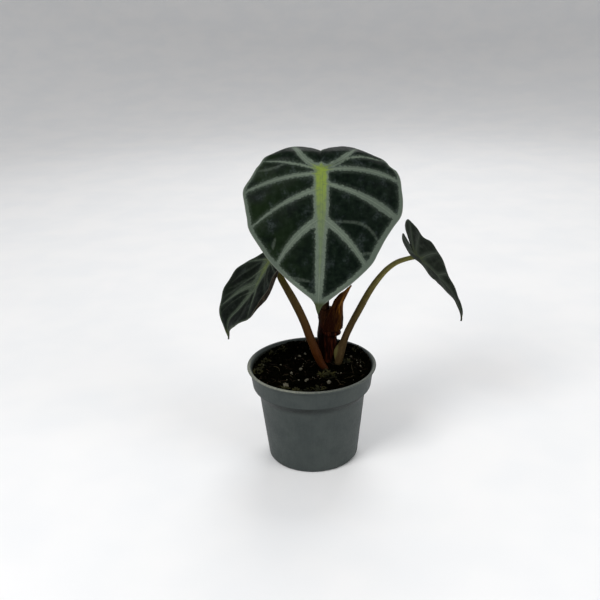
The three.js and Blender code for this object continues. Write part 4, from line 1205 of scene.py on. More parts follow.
# %% Numbers of the large leaf
MAIN_LEAF = dict(
    base=(5.9, -4, 138.1), direction=(-0.045, -0.36, -0.93), facing=(0, -0.93, 0.36),
    outlines=(
        [(0, -9.8), (2.4, -12.4), (5.4, -15.4), (9.5, -17.3), (16.5, -15.2), (21.3, -12), (24.2, -7.8),
         (26.2, -2.9), (29.7, 3.7), (33.3, 9.5), (32.7, 15.5), (31.7, 21.4), (30.7, 26.3), (26.4, 33),
         (21.2, 39.8), (15, 45.9), (7.5, 51.8), (3.3, 55), (1.6, 57.2), (0.8, 59.5), (0, 61.8)],
        [(0, -9.8), (2.4, -12.6), (5, -15.8), (9, -17.5), (16.5, -16.6), (23.5, -13.2), (27.5, -8.5),
         (29.8, -3.5), (33.4, 2.5), (34.4, 8), (34.9, 14.1), (34.2, 19.1), (30.8, 24), (27.4, 29.5),
         (24.6, 35), (21.8, 40.3), (14.3, 47.8), (8.2, 52.6), (3.9, 56), (1.6, 58), (0.8, 59.8), (0, 61.8)],
    ),
    veins=(
        [(0.4, 0.127, -0.34), (0.8, 0.295, 0.02), (2.2, 0.45, 0.12), (8.3, 0.587, 0.13), (20.8, 0.759, 0.16)],
        [(0.4, 0.176, -0.24), (0.7, 0.287, 0.1), (1.2, 0.413, 0.18), (6.1, 0.551, 0.14), (20.6, 0.759, 0.12)],
    ),
    vein_bands=(
        [[(0, 1.4), (1, 1.1)],
         [(0, 0.55), (0.5, 0.45), (1, 0.2)],
         [(0, 0.8), (0.6, 0.85), (0.85, 0.6), (1, 0.3)],
         [(0, 1.2), (0.4, 0.85), (0.8, 0.45), (1, 0.15)],
         [(0, 1.6), (0.5, 1.35), (0.85, 0.8), (1, 0.5)]],
        [[(0, 1.2), (0.5, 1.2), (0.75, 0.3), (1, -0.4)],
         [(0, -0.6), (0.28, -0.3), (0.4, 0.3), (0.8, 0.4), (1, 0)],
         [(0, 0.7), (0.3, 0.9), (0.7, 1.05), (1, 0.6)],
         [(0, 0.8), (0.35, 0.95), (0.75, 1.6), (0.9, 1.3), (1, 0.6)],
         [(0, 1.5), (0.5, 1.35), (0.85, 0.9), (1, 0.6)]],
    ),
    midrib_band=[
        (-4.5, -2.5), (-1.8, 1.5), (0, 2.7), (6, 3.2), (14, 3.25), (20, 2.9), (31, 2.2), (45, 1.9), (52, 1.45),
        (58, 1.2),
    ],
    margin_bands=(
        [(0, 0.15), (0.25, 0.3), (0.4, 0.6), (0.5, 1.3), (0.6, 1.5), (0.75, 1.7), (0.9, 1.6), (0.96, 2.2),
         (1, 3)],
        [(0, 0.15), (0.25, 0.3), (0.36, 0.6), (0.45, 1.4), (0.58, 1.9), (0.7, 2.4), (0.8, 2.1), (0.9, 1.7),
         (0.96, 2.2), (1, 3)],
    ),
    core_band=[
        (-4, -2), (-1.5, 0.2), (0.5, 1.9), (3, 2.3), (12, 2.15), (18, 1.85), (24, 1.35), (32, 0.8), (44, 0.3),
        (50, -0.4),
    ],
    faint_veins=(
        [[(12.8, -3), (15.2, -2.2), (19.1, -0.2), (24, 1.1), (27.4, 1.5)],
         [(20.3, 34.9), (19.9, 31.9), (19.2, 29.6)],
         [(12.6, 46.2), (8.3, 47), (3.4, 47.8)]],
        [[(4.4, 21.8), (8, 22.5), (12.4, 22.1), (15.8, 22.7), (18.9, 23.6), (21.9, 26.2), (24, 29.6), (25.3, 33)],
         [(15.8, 37), (17.7, 36), (20.4, 35.3), (22.6, 36)]],
    ),
    row_counts=(34, 24, 26, 28, 38, 60), columns=62, rolls=(None, None),
    bend=0.002, tip_bend=0, tip_from=50, lobe_bend=2.2, lobe_reach=16, lobe_lift=(1.7, 2.2, 13, 8.5),
    folds=([(0, -0.05), (60, -0.05)],) * 2,
    curl=-0.004, droop=0.08, sways=[(0.6, 28, 24)],
    quilt=0.6, wave=(0.25, 0.55), rib=1.0, rib_width=1.6, side_rib=0.45,
)

# %% Numbers of the left leaf
LEFT_LEAF = dict(
    base=(-16.4, 0.5, 97.5), direction=(-0.62, -0.22, -0.75), facing=(-0.66, -0.42, 0.62),
    outlines=(
        [(0, -2), (2, -4.2), (3.8, -5), (5.4, -4.2), (6, -1.5), (8.5, 3.9), (13.1, 8.2), (15.9, 11.4), (17.5, 14.3),
         (17.9, 18.5), (17.2, 23), (15.6, 26.8), (12.6, 30.6), (10.1, 33.3), (7.6, 35.7), (4.2, 38.8), (2.4, 40.9),
         (1, 42), (0, 43.2)],
        [(0, -2), (2, -5), (4.6, -6.8), (7.4, -6.2), (9.8, -3), (13.2, 1.2), (16.4, 5.8), (18.4, 11), (17.6, 15),
         (16.2, 19.5), (14.9, 24), (13, 27), (11.4, 29.3), (10.2, 31.6), (8.6, 34.4), (4.1, 37.6), (2, 39.5),
         (1, 41.3), (0, 43.2)],
    ),
    veins=(
        [(-0.8, 0.089, 0.11), (0.6, 0.369, 0.01), (4.3, 0.709, 0.06), (12.8, 0.784, 0.2), (17.5, 0.86, 0.25)],
        [(-0.8, 0.124, 0.05), (0.6, 0.328, -0.12), (4.3, 0.515, -0.12), (12.8, 0.703, 0.04), (18, 0.822, 0.11)],
    ),
    vein_bands=(
        [[(0, 0.3), (1, 0.2)], [(0, 0.3), (0.6, 0), (1, -0.4)], [(0, 0), (0.5, -0.3), (1, -0.5)],
         [(0, 1.0), (0.4, 0.9), (0.7, 0.3), (1, -0.2)], [(0, -0.4), (1, -0.6)]],
        [[(0, 0.3), (1, 0)], [(0, 0), (1, -0.5)], [(0, -0.3), (1, -0.6)],
         [(0, 0.6), (0.4, 0.2), (1, -0.4)], [(0, -0.5), (1, -0.6)]],
    ),
    midrib_band=[(-2, -1), (-0.6, 1.4), (2, 2.6), (10, 2.6), (15, 2.1), (19, 1.0), (32, 0.6), (40, 0.3)],
    margin_bands=([(0, 0), (0.4, 0.15), (0.7, 0.3), (1, 0.5)],) * 2,
    core_band=[(-3, -1), (0, 1.2), (8, 0.8), (14, 0.1), (20, -1)],
    faint_veins=(
        [[(3, 3), (7, 8.5), (12, 14), (15, 21)], [(2.5, 10), (8, 16), (14, 24)],
         [(2.5, 12), (8, 20), (12, 27)], [(2, 15), (7, 23), (10, 29)]],
        [[(3.5, 3), (7, 8), (13, 10)]],
    ),
    row_counts=(14, 24, 30, 16, 18, 36), columns=60,
    rolls=(None, [(-3, 0), (3, 1.4), (8, 2.6), (11, 2.9), (15, 2.6), (20, 2), (24, 1), (28, 0)]),
    bend=0.008, tip_bend=0.03, tip_from=34, lobe_bend=1.6, lobe_reach=7, lobe_lift=(0, 0, 0, 1),
    folds=([(0, 0.25), (40, 0.25)],) * 2,
    curl=-0.012, droop=0, sways=[(2, 14, 8), (-4.6, 35.5, 7)],
    quilt=0.35, wave=(0.25, 0.6), rib=0.65, rib_width=1.2, side_rib=0.3,
)

# %% Numbers of the right leaf
RIGHT_LEAF = dict(
    base=(47.6, -0.2, 97), direction=(0.74, -0.25, -0.6), facing=(0.6, -0.3, 0.74),
    outlines=(
        [(0, -2.5), (1.1, -7), (1.3, -11), (3.8, -12.8), (7.2, -11.5), (8.6, -7.5), (9.2, -2), (9.5, 4), (9.1, 10),
         (8.6, 12.6), (9.2, 13.6), (8.7, 15.4), (7.4, 18), (5, 23), (2.8, 27.5), (1.4, 31.5), (0.8, 33), (0, 37)],
        [(0, -2), (0.8, -3.6), (1.2, -7), (1.2, -11.5), (3, -15), (6.2, -15.8), (9.3, -12.1), (12.9, -5.3), (15.4, 0),
         (15, 3.7), (12.5, 8.7), (8.5, 13.6), (5, 19.2), (3.3, 25.7), (2.8, 29), (1.6, 31.5), (0.9, 33.5), (0, 37)],
    ),
    veins=(
        [(-0.8, 0.2, 0), (-0.3, 0.3, 0), (3, 0.52, 0.06), (12.8, 0.72, 0.06)],
        [(-0.8, 0.24, 0), (-0.3, 0.37, 0.05), (2, 0.565, 0.1), (12.5, 0.705, 0)],
    ),
    vein_bands=([
        [(0, 0.5), (1, 0.1)], [(0, 0.9), (0.6, 0.8), (1, 0)], [(0, 0.9), (0.6, 0.7), (1, 0)], [(0, 0.6), (1, 0.2)],
    ],) * 2,
    midrib_band=[(-2.5, -1), (-0.6, 0.8), (2, 1.0), (14, 0.6), (22, 0.35), (32, 0.2), (37, 0.1)],
    margin_bands=([(0, 0), (0.5, 0.2), (1, 0.3)],) * 2,
    core_band=[(-3, -1), (0, 0.5), (3, 0), (8, -1)],
    faint_veins=([[(2, 8), (8, 10)]], [[(1.5, 9), (6, 8.4), (10.5, 9.6)], [(3, -6), (6, -12)]]),
    row_counts=(24, 14, 26, 26, 40), columns=46, rolls=(None, None),
    bend=0.014, tip_bend=0.1, tip_from=31, lobe_bend=-0.6, lobe_reach=3, lobe_lift=(0, 0, 0, 1),
    folds=([(-12, 0.14), (-6, 0.18), (-1, 0.36), (2, 0.36), (9, 0.24), (37, 0.2)], [(0, 0.2), (37, 0.2)]),
    curl=-0.005, droop=0, sways=[(1.8, 22, 9)],
    quilt=0.35, wave=(0.2, 0.6), rib=0.65, rib_width=1.2, side_rib=0.3,
)
for leaf in (MAIN_LEAF, LEFT_LEAF, RIGHT_LEAF):
    print("leaf with", sum(leaf["row_counts"]) + 1, "rows of", leaf["columns"], "points on each half")


# %% [markdown]
# ## From flat to space
# The midrib's turn at each b is a formula, so its run and rise are running sums of cosine and sine. Across
# it, a half that is folded and evenly curled is part of a circle. A lattice or a chain of simple-deform
# modifiers would bend a flat mesh too, but the veins' lines would then be lost.

# %% Blade frame and bending
RUN_STEP, RUN_FROM, RUN_TO = 0.1, -22, 64
FOLD_EASE = 5
LOBES_FULL = 8
DROOP_WIDTH, DROOP_TO = 30, 6


def blade_frame(leaf):
    """Directions along the midrib, off the blade and across it, square to each other."""
    along = unit(leaf["direction"])
    facing = np.asarray(leaf["facing"], float)
    normal = unit(facing - along * (facing @ along))
    return along, normal, np.cross(normal, along)


def turn_at(leaf, b):
    """Angle by which the midrib has turned at b: quick over the lobes, slow towards the tip."""
    lobes = -leaf["lobe_bend"] * (1 - np.exp(np.minimum(b, 0) / leaf["lobe_reach"]))
    tip = leaf["bend"] * b + leaf["tip_bend"] * np.maximum(0, b - leaf["tip_from"])
    return np.where(b < 0, lobes, tip)


def midrib_run(leaf, b):
    """Distance run along and rise off the base plane at b: the sums of cosine and sine of the turn."""
    marks = np.arange(RUN_FROM, RUN_TO, RUN_STEP)
    turn = turn_at(leaf, marks + RUN_STEP / 2)
    run = np.concatenate([[0], np.cumsum(np.cos(turn) * RUN_STEP)])
    rise = np.concatenate([[0], np.cumsum(-np.sin(turn) * RUN_STEP)])
    marks = np.append(marks, marks[-1] + RUN_STEP)
    run, rise = run - np.interp(0, marks, run), rise - np.interp(0, marks, rise)
    return np.interp(b, marks, run), np.interp(b, marks, rise)


def on_blade(leaf, a, b, h):
    """Place in space of flat place (a, b), h above the blade: bent along b, folded and curled across a, with
    sways as bell curves along b, raised lobes and lowered shoulders."""
    along, normal, across = blade_frame(leaf)
    run, rise = midrib_run(leaf, b)
    turn = turn_at(leaf, b)
    out, right = np.abs(a), a > 0
    fold = np.where(right, eased(leaf["folds"][1], b, FOLD_EASE), eased(leaf["folds"][0], b, FOLD_EASE))
    curl = leaf["curl"]
    spread = np.sign(a) * (np.sin(fold + curl * out) - np.sin(fold)) / curl
    lift = (np.cos(fold) - np.cos(fold + curl * out)) / curl
    sway = sum(by * np.exp(-((b - at) / width) ** 2) for by, at, width in leaf["sways"])
    left_lift, right_lift, lift_at, lift_width = leaf["lobe_lift"]
    raised = np.where(right, right_lift, left_lift) * np.exp(-((out - lift_at) / lift_width) ** 2)
    raised = raised * np.clip(-b / LOBES_FULL, 0, 1)
    drooped = leaf["droop"] * (out / DROOP_WIDTH) ** 2 * np.maximum(0, DROOP_TO - b)
    up = normal * np.cos(turn)[..., None] + along * np.sin(turn)[..., None]
    return (np.array(leaf["base"]) + along * run[..., None] + normal * rise[..., None]
            + across * (spread + sway)[..., None] + up * (lift + raised - drooped + h)[..., None])


tip = np.array(MAIN_LEAF["outlines"][0][-1:], float)
print("tip of the large leaf:", on_blade(MAIN_LEAF, tip[:, 0], tip[:, 1], 0).round(1))

# %% [markdown]
# ## Rows that follow the veins
# Each side vein is a row of the grid, and the rows between two veins blend from one to the next. So relief
# and colour run along the veins, and no vein cuts across a face. The distance to every vein, to the margin
# and to the edge of the pale bands is worked out once for each point, and goes into the mesh.

# %% Outline, rows and veins
# Half the warm band round each vein at the stalk's end, and how much it narrows per millimetre of a and of b.
WARM_HALF, WARM_ACROSS, WARM_ALONG = 1.0, 0.24, 0.06
FAR = 99.0


def outline_at(outline, shares, samples=1500):
    """Smooth curve through the outline's points, each slope half the way from its neighbour to its other one,
    read at shares of its length."""
    spots = np.asarray(outline, float)
    spots = np.concatenate([spots[:1], spots, spots[-1:]])
    t = np.linspace(0, 1, samples // (len(spots) - 3))[:, None]
    path = []
    for k in range(1, len(spots) - 2):
        p0, p1, p2, p3 = spots[k - 1:k + 3]
        path.append(cubic(p1, (p2 - p0) / 2, p2, (p3 - p1) / 2, t))
    path = np.concatenate(path)
    length = run_length(path)
    return np.stack([np.interp(np.asarray(shares) * length[-1], length, path[:, k]) for k in (0, 1)], axis=-1)


def bow(start, end, arch, q):
    """Quadratic curves from the midrib at start to the margin at end, pulled towards the base by their arch."""
    origin = np.stack([0 * start, start], axis=-1)
    run = end - origin
    length = np.linalg.norm(run, axis=-1, keepdims=True)
    pull = np.stack([-run[:, 1], run[:, 0]], axis=-1) / np.maximum(length, 1e-9)
    pull = np.where(pull[:, 1:] > 0, -pull, pull)
    control = origin + run / 2 + pull * (arch[:, None] * length)
    q = q[None, :, None]
    return (1 - q) ** 2 * origin[:, None] + 2 * q * (1 - q) * control[:, None] + q ** 2 * end[:, None]


def blade_rows(leaf, side):
    """Rows of one half: where each starts on the midrib, the share of the outline where it ends, its arch,
    and its share of the way from one vein to the next."""
    outline = leaf["outlines"][side]
    stops = np.array([(outline[0][1], 0, 0), *leaf["veins"][side], (outline[-1][1], 1, 0)], float)
    parts, shares = [], []
    for k, count in enumerate(leaf["row_counts"]):
        share = np.linspace(0, 1, count, endpoint=False)
        parts.append(stops[k] + (stops[k + 1] - stops[k]) * share[:, None])
        shares.append(share)
    rows = np.concatenate([*parts, stops[-1:]])
    return rows[:, 0], rows[:, 1], rows[:, 2], np.concatenate([*shares, [0]])


def smooth_line(points, samples=60):
    """Points of a given line, joined by straight steps and eased by a running mean."""
    spots = np.asarray(points, float)
    length = run_length(spots)
    table = np.column_stack([length / length[-1], spots])
    share = np.linspace(0, 1, samples)
    return np.stack([eased(table[:, [0, k]], share, 0.2) for k in (1, 2)], axis=-1)


def nearest(flat, line):
    """Distance from each flat place to a line of points, and the share of the line where it is nearest."""
    gaps = np.linalg.norm(flat[..., None, :] - line, axis=-1)
    return gaps.min(-1), gaps.argmin(-1) / (len(line) - 1)


def joined(one, two, reach):
    """Smooth minimum of two distances, which rounds the corner where two bands meet."""
    near = np.maximum(reach - np.abs(one - two), 0) / reach
    return np.minimum(one, two) - near ** 2 * reach / 4


def vein_fields(leaf, side, flat):
    """Signed distances to the edge of the pale bands and of their bright core, and distances to the vein
    centres, to the margin and to the faint small veins."""
    q = np.linspace(0, 1, 90)
    veins = np.array(leaf["veins"][side], float)
    lines = bow(veins[:, 0], outline_at(leaf["outlines"][side], veins[:, 1]), veins[:, 2], q)
    midrib = flat[..., 0] - through(leaf["midrib_band"], flat[..., 1])
    core = flat[..., 0] + np.maximum(0, -1 - flat[..., 1])
    side_bands = np.full(flat.shape[:-1], FAR)
    for line, widths in zip(lines, leaf["vein_bands"][side]):
        gap, at = nearest(flat, line)
        side_bands = np.minimum(side_bands, gap - through(widths, at))
        core = np.minimum(core, gap + 0.4 * smooth_share(0.85, 1, at))
    rim = outline_at(leaf["outlines"][side], np.linspace(0, 1, 500))
    edge, at = nearest(flat, rim)
    margin = edge - through(leaf["margin_bands"][side], at)
    warm = joined(
        flat[..., 0] - through(leaf["core_band"], flat[..., 1]),
        core - WARM_HALF + WARM_ACROSS * flat[..., 0] + WARM_ALONG * np.abs(flat[..., 1]), 1.2,
    )
    faint = np.full(flat.shape[:-1], FAR)
    for points in leaf["faint_veins"][side]:
        gap, at = nearest(flat, smooth_line(points))
        faint = np.minimum(faint, gap + 0.5 * np.abs(2 * at - 1) ** 3)
    return {
        "band": joined(joined(midrib, side_bands, 1.5), margin, 1.0), "core": core, "edge": edge, "warm": warm,
        "faint": faint,
    }


for leaf in (MAIN_LEAF, LEFT_LEAF, RIGHT_LEAF):
    halves = [outline_at(outline, np.linspace(0, 1, 200)) for outline in leaf["outlines"]]
    print(f"flat blade: {sum(half[:, 0].max() for half in halves):.1f} mm wide")

# %% [markdown]
# ## The blade as a closed skin
# The two halves share the midrib. The front carries the swelling panels, a fine raised line on each vein
# and a leathery grain. The back carries the real ribs. Both are one loop of points from margin to margin
# and back, with round edges, so the blade is a closed thin solid. A Solidify modifier would thicken one
# sheet, but evenly, and the ribs are only on the back. The left leaf's right margin also rolls over.

# %% Blade surface
BLADE_THICKNESS, EDGE_THINNING = 0.5, 0.35
ROLL_RADIUS = 0.5
# Leathery grain as (height, size, seed).
LEATHER = [(0.1, 3.1, 17), (0.05, 1.6, 15), (0.025, 0.7, 16)]
# A vein stands up by a narrow bell curve less a wide one, and a faint vein lies in a groove.
VEIN_HEIGHT, VEIN_NARROW, VEIN_WIDE = 0.12, 0.32, 1.3
GROOVE_DEPTH, GROOVE_WIDTH = 0.07, 0.5


def rolled(leaf, side, flat, edge):
    """A margin that curls over: past the start of the roll, distance turns half round a small circle and then
    runs straight back. Returns the way outwards, the shift along it, the rise and the angle turned."""
    way = unit(flat[:, -1] - flat[:, -8])
    way = np.stack([np.convolve(np.pad(way[:, k], 4, "edge"), np.ones(9) / 9, "valid") for k in (0, 1)], axis=-1)
    past = np.maximum(0, eased(leaf["rolls"][side] or [(0, 0), (1, 0)], flat[..., 1], 4) - edge)
    turn = np.minimum(past / ROLL_RADIUS, np.pi)
    straight = np.maximum(0, past - np.pi * ROLL_RADIUS)
    shift = ROLL_RADIUS * np.sin(turn) - straight - past
    return way[:, None], shift, ROLL_RADIUS * (1 - np.cos(turn)), turn


def half_blade(leaf, side):
    """Flat places, front and back heights and colour fields of one half, from the midrib to the margin."""
    start, end, arch, share = blade_rows(leaf, side)
    mirror = blade_rows(leaf, 1 - side)[0]
    q = np.linspace(0, 1, leaf["columns"])
    q = q + 0.06 * np.sin(2 * np.pi * q)
    flat = bow(start, outline_at(leaf["outlines"][side], end), arch, q)
    flat[:, 0, 1] = (start + mirror) / 2
    fields = vein_fields(leaf, side, flat)
    core, edge = fields["core"], fields["edge"]
    sign = 1 if side else -1
    a, b = sign * flat[..., 0], flat[..., 1]
    height, ripples = leaf["wave"]
    panel = leaf["quilt"] * np.sin(np.pi * share)[:, None] ** 1.15 * np.sin(np.pi * q[None] ** 0.8)
    wave = height * q[None] ** 3 * np.sin(ripples * b + sign)
    spot = np.stack([a, b, 0 * a], axis=-1)
    inland = smooth_share(0, 1.2, edge)
    leathery = sum(tall * bumps(spot, size, seed) for tall, size, seed in LEATHER) * inland
    line = VEIN_HEIGHT * (np.exp(-(core / VEIN_NARROW) ** 2) - np.exp(-(core / VEIN_WIDE) ** 2))
    line = line - GROOVE_DEPTH * np.exp(-(fields["faint"] / GROOVE_WIDTH) ** 2)
    h = panel + wave + leathery + line * inland
    length = leaf["outlines"][0][-1][1]
    taper = 0.25 + 0.75 * (1 - np.clip(b / length, 0, 1))
    hump = np.sqrt(np.maximum(0, 1 - (a / leaf["rib_width"]) ** 2)) * smooth_share(-4, 0, b)
    ribs = np.maximum(leaf["rib"] * taper * hump, leaf["side_rib"] * (1 - q[None]) * np.exp(-(core / 0.5) ** 2))
    thick = BLADE_THICKNESS * (1 - EDGE_THINNING * q[None] ** 2)
    way, shift, lifted, turn = rolled(leaf, side, flat, edge)
    deep = thick + ribs * inland
    front = flat + way * shift[..., None]
    back = front + way * (deep * np.sin(turn))[..., None]
    tall = h * np.cos(turn) + lifted
    return {
        **fields, "a": a, "b": b, "rise": np.clip(b / length, -0.3, 1),
        "front": np.stack([sign * front[..., 0], front[..., 1], tall]),
        "back": np.stack([sign * back[..., 0], back[..., 1], tall - deep * np.cos(turn)]),
    }


def blade(name, leaf):
    """Both halves side by side, left margin to right margin, placed in space and closed into one skin."""
    left, right = half_blade(leaf, 0), half_blade(leaf, 1)
    both = {k: np.concatenate([left[k][..., :0:-1], right[k]], axis=-1) for k in left}
    front, back = (on_blade(leaf, *both[face]) for face in ("front", "back"))
    values = {
        "band_mm": both["band"], "vein_mm": both["core"], "edge_mm": both["edge"], "warm_mm": both["warm"],
        "faint_mm": both["faint"], "midrib_mm": np.abs(both["a"]), "leaf_rise": both["rise"],
    }
    values = {k: loop_values(v, v) for k, v in values.items()}
    values["upper_face"] = loop_values(1 + 0 * both["a"], 0 * both["a"])
    a, b = loop_values(both["a"], both["a"]), loop_values(both["b"], both["b"])
    values["flat_mm"] = np.stack([a, b, 0 * a], axis=-1)
    return looped(name, sheet_loop(front, back), values)


# %% [markdown]
# ## Leaf colour
# The bands along the veins, the midrib and the margin are one field: the signed distance to their edge.
# Noise is added to that distance before it becomes a mask, which gives the feathery edge where pale cells
# reach into the dark panel. Within the bands the midrib is warm green and the side veins are silver. The
# fine net inside the panels is a pattern of cells in the flat leaf coordinates, so it bends with the leaf. The
# underside is dark brown with greenish ribs. A painted picture would be quicker to make, but would blur or
# shift against the raised veins.

# %% What the leaf's colours read
def leaf_fields(tree):
    """Distances that the mesh carries, noises in the flat leaf from broad to fine, and the net of cells."""
    flat = read_vector(tree, "flat_mm")
    cloudy = noise(tree, flat, 0.42, 4.0)
    cells = place(
        tree, "ShaderNodeTexVoronoi", {"Vector": flat, "Scale": 2.3, "Randomness": 1.0}, feature="DISTANCE_TO_EDGE",
    )
    return SimpleNamespace(
        flat=flat, band=read(tree, "band_mm"), core=read(tree, "vein_mm"), edge=read(tree, "edge_mm"),
        midrib=read(tree, "midrib_mm"), rise=read(tree, "leaf_rise"), warm=read(tree, "warm_mm"),
        faint=read(tree, "faint_mm"), upper=read(tree, "upper_face"), broad=noise(tree, flat, 0.09, 2.0),
        cloudy=cloudy, ragged=noise(tree, flat, 0.95, 3.0, 0.65), fine=noise(tree, flat, 3.2, 3.0),
        net=times(tree, fade(tree, cells.outputs["Distance"], 0.11, 0.0), fade(tree, cloudy, 0.42, 0.8)),
    )


# %% Panels, bands and underside
def leaf_panel(tree, see, tint):
    """Dark panels: clouds of two colours, greener and lighter to the left, partly by painted light, with grey
    patches of painted sheen, faint veins and the net.
    """
    panel = blend(tree, fade(tree, see.cloudy, 0.2, 0.85), tint["dark"], tint["panel"])
    # Greener to the left of the midrib, and lighter there: partly the leaf's own tone, partly painted light from the
    # left.
    leftwards = fade(tree, coordinates(tree, see.flat)[0], 4.0, -26.0)
    greener = times(tree, leftwards, fade(tree, see.broad, 0.35, 0.6))
    panel = glaze(tree, panel, greener, tint["greener"], tint["green"])
    # Painted sheen: soft grey patches where the panels would catch a gloss.
    painted_sheen = noise(tree, stretched(tree, see.flat, (1.0, 0.7, 1.0)), 0.2, 3.0)
    painted_sheen = times(tree, fade(tree, painted_sheen, 0.5, 0.74), fade(tree, see.ragged, 0.3, 0.65))
    panel = glaze(tree, panel, painted_sheen, 0.5, tint["painted_sheen"])
    faint = times(tree, fade(tree, see.faint, 1.1, 0.1), fade(tree, see.ragged, 0.2, 0.6))
    panel = glaze(tree, panel, faint, tint["faint"], tint["band_dim"])
    return glaze(tree, panel, see.net, 0.08, tint["band_dim"])


def leaf_bands(tree, see, tint):
    """Colour of the bands: silver, dimmer away from the midrib, with a warm bright centre, worn patches, and
    on each vein a pale thread between two darker lines."""
    speckle = fade(tree, see.fine, 0.3, 0.7)
    dim = blend(tree, speckle, tint["band_dim"], tint["band_low"])
    near = blend(tree, speckle, tint["band_low"], tint["band"])
    silver = blend(tree, fade(tree, see.midrib, 22.0, 5.0), dim, near)
    bright = blend(tree, fade(tree, see.rise, 0.5, -0.02), tint["midrib"], tint["midrib_top"])
    warm = shaken(tree, see.warm, see.ragged, 1.2)
    silver = blend(tree, fade(tree, warm, 0.7, -0.7), silver, bright)
    patchy = times(tree, fade(tree, see.cloudy, 0.42, 0.72), 0.45)
    worn_low = times(tree, fade(tree, see.rise, 0.78, 0.9), 0.7)
    silver = blend(tree, maths(tree, "MAXIMUM", patchy, worn_low), silver, tint["band_low"])
    thread = times(tree, fade(tree, see.core, 0.4, 0.1), fade(tree, warm, -0.6, 0.6))
    silver = glaze(tree, silver, thread, 0.35, tint["thread"])
    beside = fade(tree, away(tree, see.core, 0.5), 0.22, 0.05)
    return glaze(tree, silver, beside, 0.3, tint["band_low"])


def leaf_under(tree, see, tint):
    """Underside: clouds of two browns, with greenish ribs, the net and the rim."""
    under = blend(tree, fade(tree, see.cloudy, 0.3, 0.7), tint["under_dark"], tint["under"])
    ribs = times(tree, fade(tree, see.core, 0.9, 0.35), fade(tree, see.edge, 0.4, 2.0))
    under = glaze(tree, under, ribs, 0.8, tint["under_vein"])
    under = glaze(tree, under, see.net, 0.35, tint["under_vein"])
    return glaze(tree, under, fade(tree, see.edge, 0.5, 0.1), 0.6, tint["rim"])


def leaf_material(name, tint):
    """Material of one leaf from its tints: the bands on the panels through a feathery mask with a halo, then
    a line inside the margin, the pale rim and the olive tip, and the underside on the back."""
    tree = blank(name)
    see = leaf_fields(tree)
    torn = shaken(tree, shaken(tree, see.band, see.ragged, tint["ragged"]), see.fine, 1.0)
    pale = fade(tree, torn, tint["soft"], -0.2)
    halo = times(tree, fade(tree, see.band, 1.6 + tint["soft"], 0.0), fade(tree, see.ragged, 0.3, 0.7))
    upper = glaze(tree, leaf_panel(tree, see, tint), halo, 0.4, tint["band_low"])
    upper = blend(tree, times(tree, pale, tint["pale_share"]), upper, leaf_bands(tree, see, tint))
    upper = glaze(tree, upper, fade(tree, away(tree, see.edge, 0.75), 0.3, 0.1), 0.3, tint["band_low"])
    upper = glaze(tree, upper, fade(tree, see.edge, 0.42, 0.12), tint["rim_share"], tint["rim"])
    upper = glaze(tree, upper, fade(tree, see.rise, 0.9, 0.935), 0.85, tint["tip"])
    colour = blend(tree, fade(tree, see.upper, 0.25, 0.55), leaf_under(tree, see, tint), upper)
    rough = maths(tree, "MULTIPLY_ADD", pale, 0.1, maths(tree, "MULTIPLY_ADD", see.ragged, 0.25, tint["rough"]))
    height = maths(tree, "MULTIPLY_ADD", see.fine, 0.5, times(tree, see.net, 0.6))
    return finish(name, colour, rough, height, 0.03, {"Specular IOR Level": tint["shine"]})


# %% [markdown]
# ## Three leaves
# The large leaf has the clearest bands. The small ones are duller and softer, so their tints start from the
# large leaf's and change what differs. The right leaf's panels are painted lighter and greyer: a painted
# sheen, as it is seen at a grazing angle.

# %% Leaves in place
MAIN_TINT = dict(
    dark=(3, 9, 6), panel=(15, 26, 17), green=(22, 36, 12), greener=0.5, painted_sheen=(64, 72, 72), band=(108, 119, 105),
    band_low=(76, 86, 76), band_dim=(86, 95, 85), midrib=(94, 108, 80), midrib_top=(116, 134, 56),
    thread=(116, 127, 110), rim=(112, 118, 108), rim_share=0.5, tip=(50, 56, 28), under=(50, 40, 34),
    under_dark=(34, 28, 24), under_vein=(76, 80, 58), rough=0.3, shine=0.035, soft=0.35, ragged=2.6, pale_share=1.0,
    faint=0.42,
)
LEFT_TINT = {**MAIN_TINT, **dict(
    dark=(1, 4, 3), panel=(15, 21, 15), green=(22, 30, 18), band=(86, 96, 80), band_low=(44, 52, 44),
    band_dim=(60, 68, 58), midrib=(84, 96, 72), midrib_top=(96, 107, 66), thread=(90, 98, 86), rim=(84, 86, 74),
    rim_share=0.45, soft=0.9, ragged=1.6, pale_share=0.8, painted_sheen=(52, 58, 56), under=(42, 36, 30),
    under_dark=(26, 22, 18), under_vein=(56, 52, 40), faint=0.35,
)}
# The right leaf's lighter, greyer panels and patches are painted sheen, as it is seen at a grazing angle.
RIGHT_TINT = {**MAIN_TINT, **dict(
    dark=(10, 15, 10), panel=(30, 36, 28), green=(36, 41, 30), band=(66, 73, 63), band_low=(44, 50, 43),
    band_dim=(56, 62, 53), midrib=(74, 81, 68), midrib_top=(72, 80, 54), thread=(90, 96, 86), rim=(46, 50, 40),
    rim_share=0.4, soft=1.3, ragged=1.8, pale_share=0.65, painted_sheen=(60, 64, 58), faint=0.3,
)}
LEAVES = [
    ("leaf_main", MAIN_LEAF, MAIN_TINT), ("leaf_left", LEFT_LEAF, LEFT_TINT), ("leaf_right", RIGHT_LEAF, RIGHT_TINT),
]
for node, leaf, tint in LEAVES:
    piece = blade(node.replace("leaf", "blade"), leaf)
    dress(piece, node, "leaf", leaf_material(node.replace("_", " "), tint))

# %% [markdown]
# ## The three stalks
# The main stalk rises out of the bundle behind its leaf. The side stalks leave the soil, swing out and end
# under their leaves. Their colours run from red-brown at the soil through olive brown to olive green. A
# mirrored or copied stalk would be quicker, but on the plant no two are alike, so each has its own points.

# %% Stalks in place
SEAT_DEPTH, MAIN_BEHIND = 0.3, 4.7
FACING_FRONT, FACING_RIGHT = np.array([0.0, -1, 0]), np.array([1.0, 0, 0])


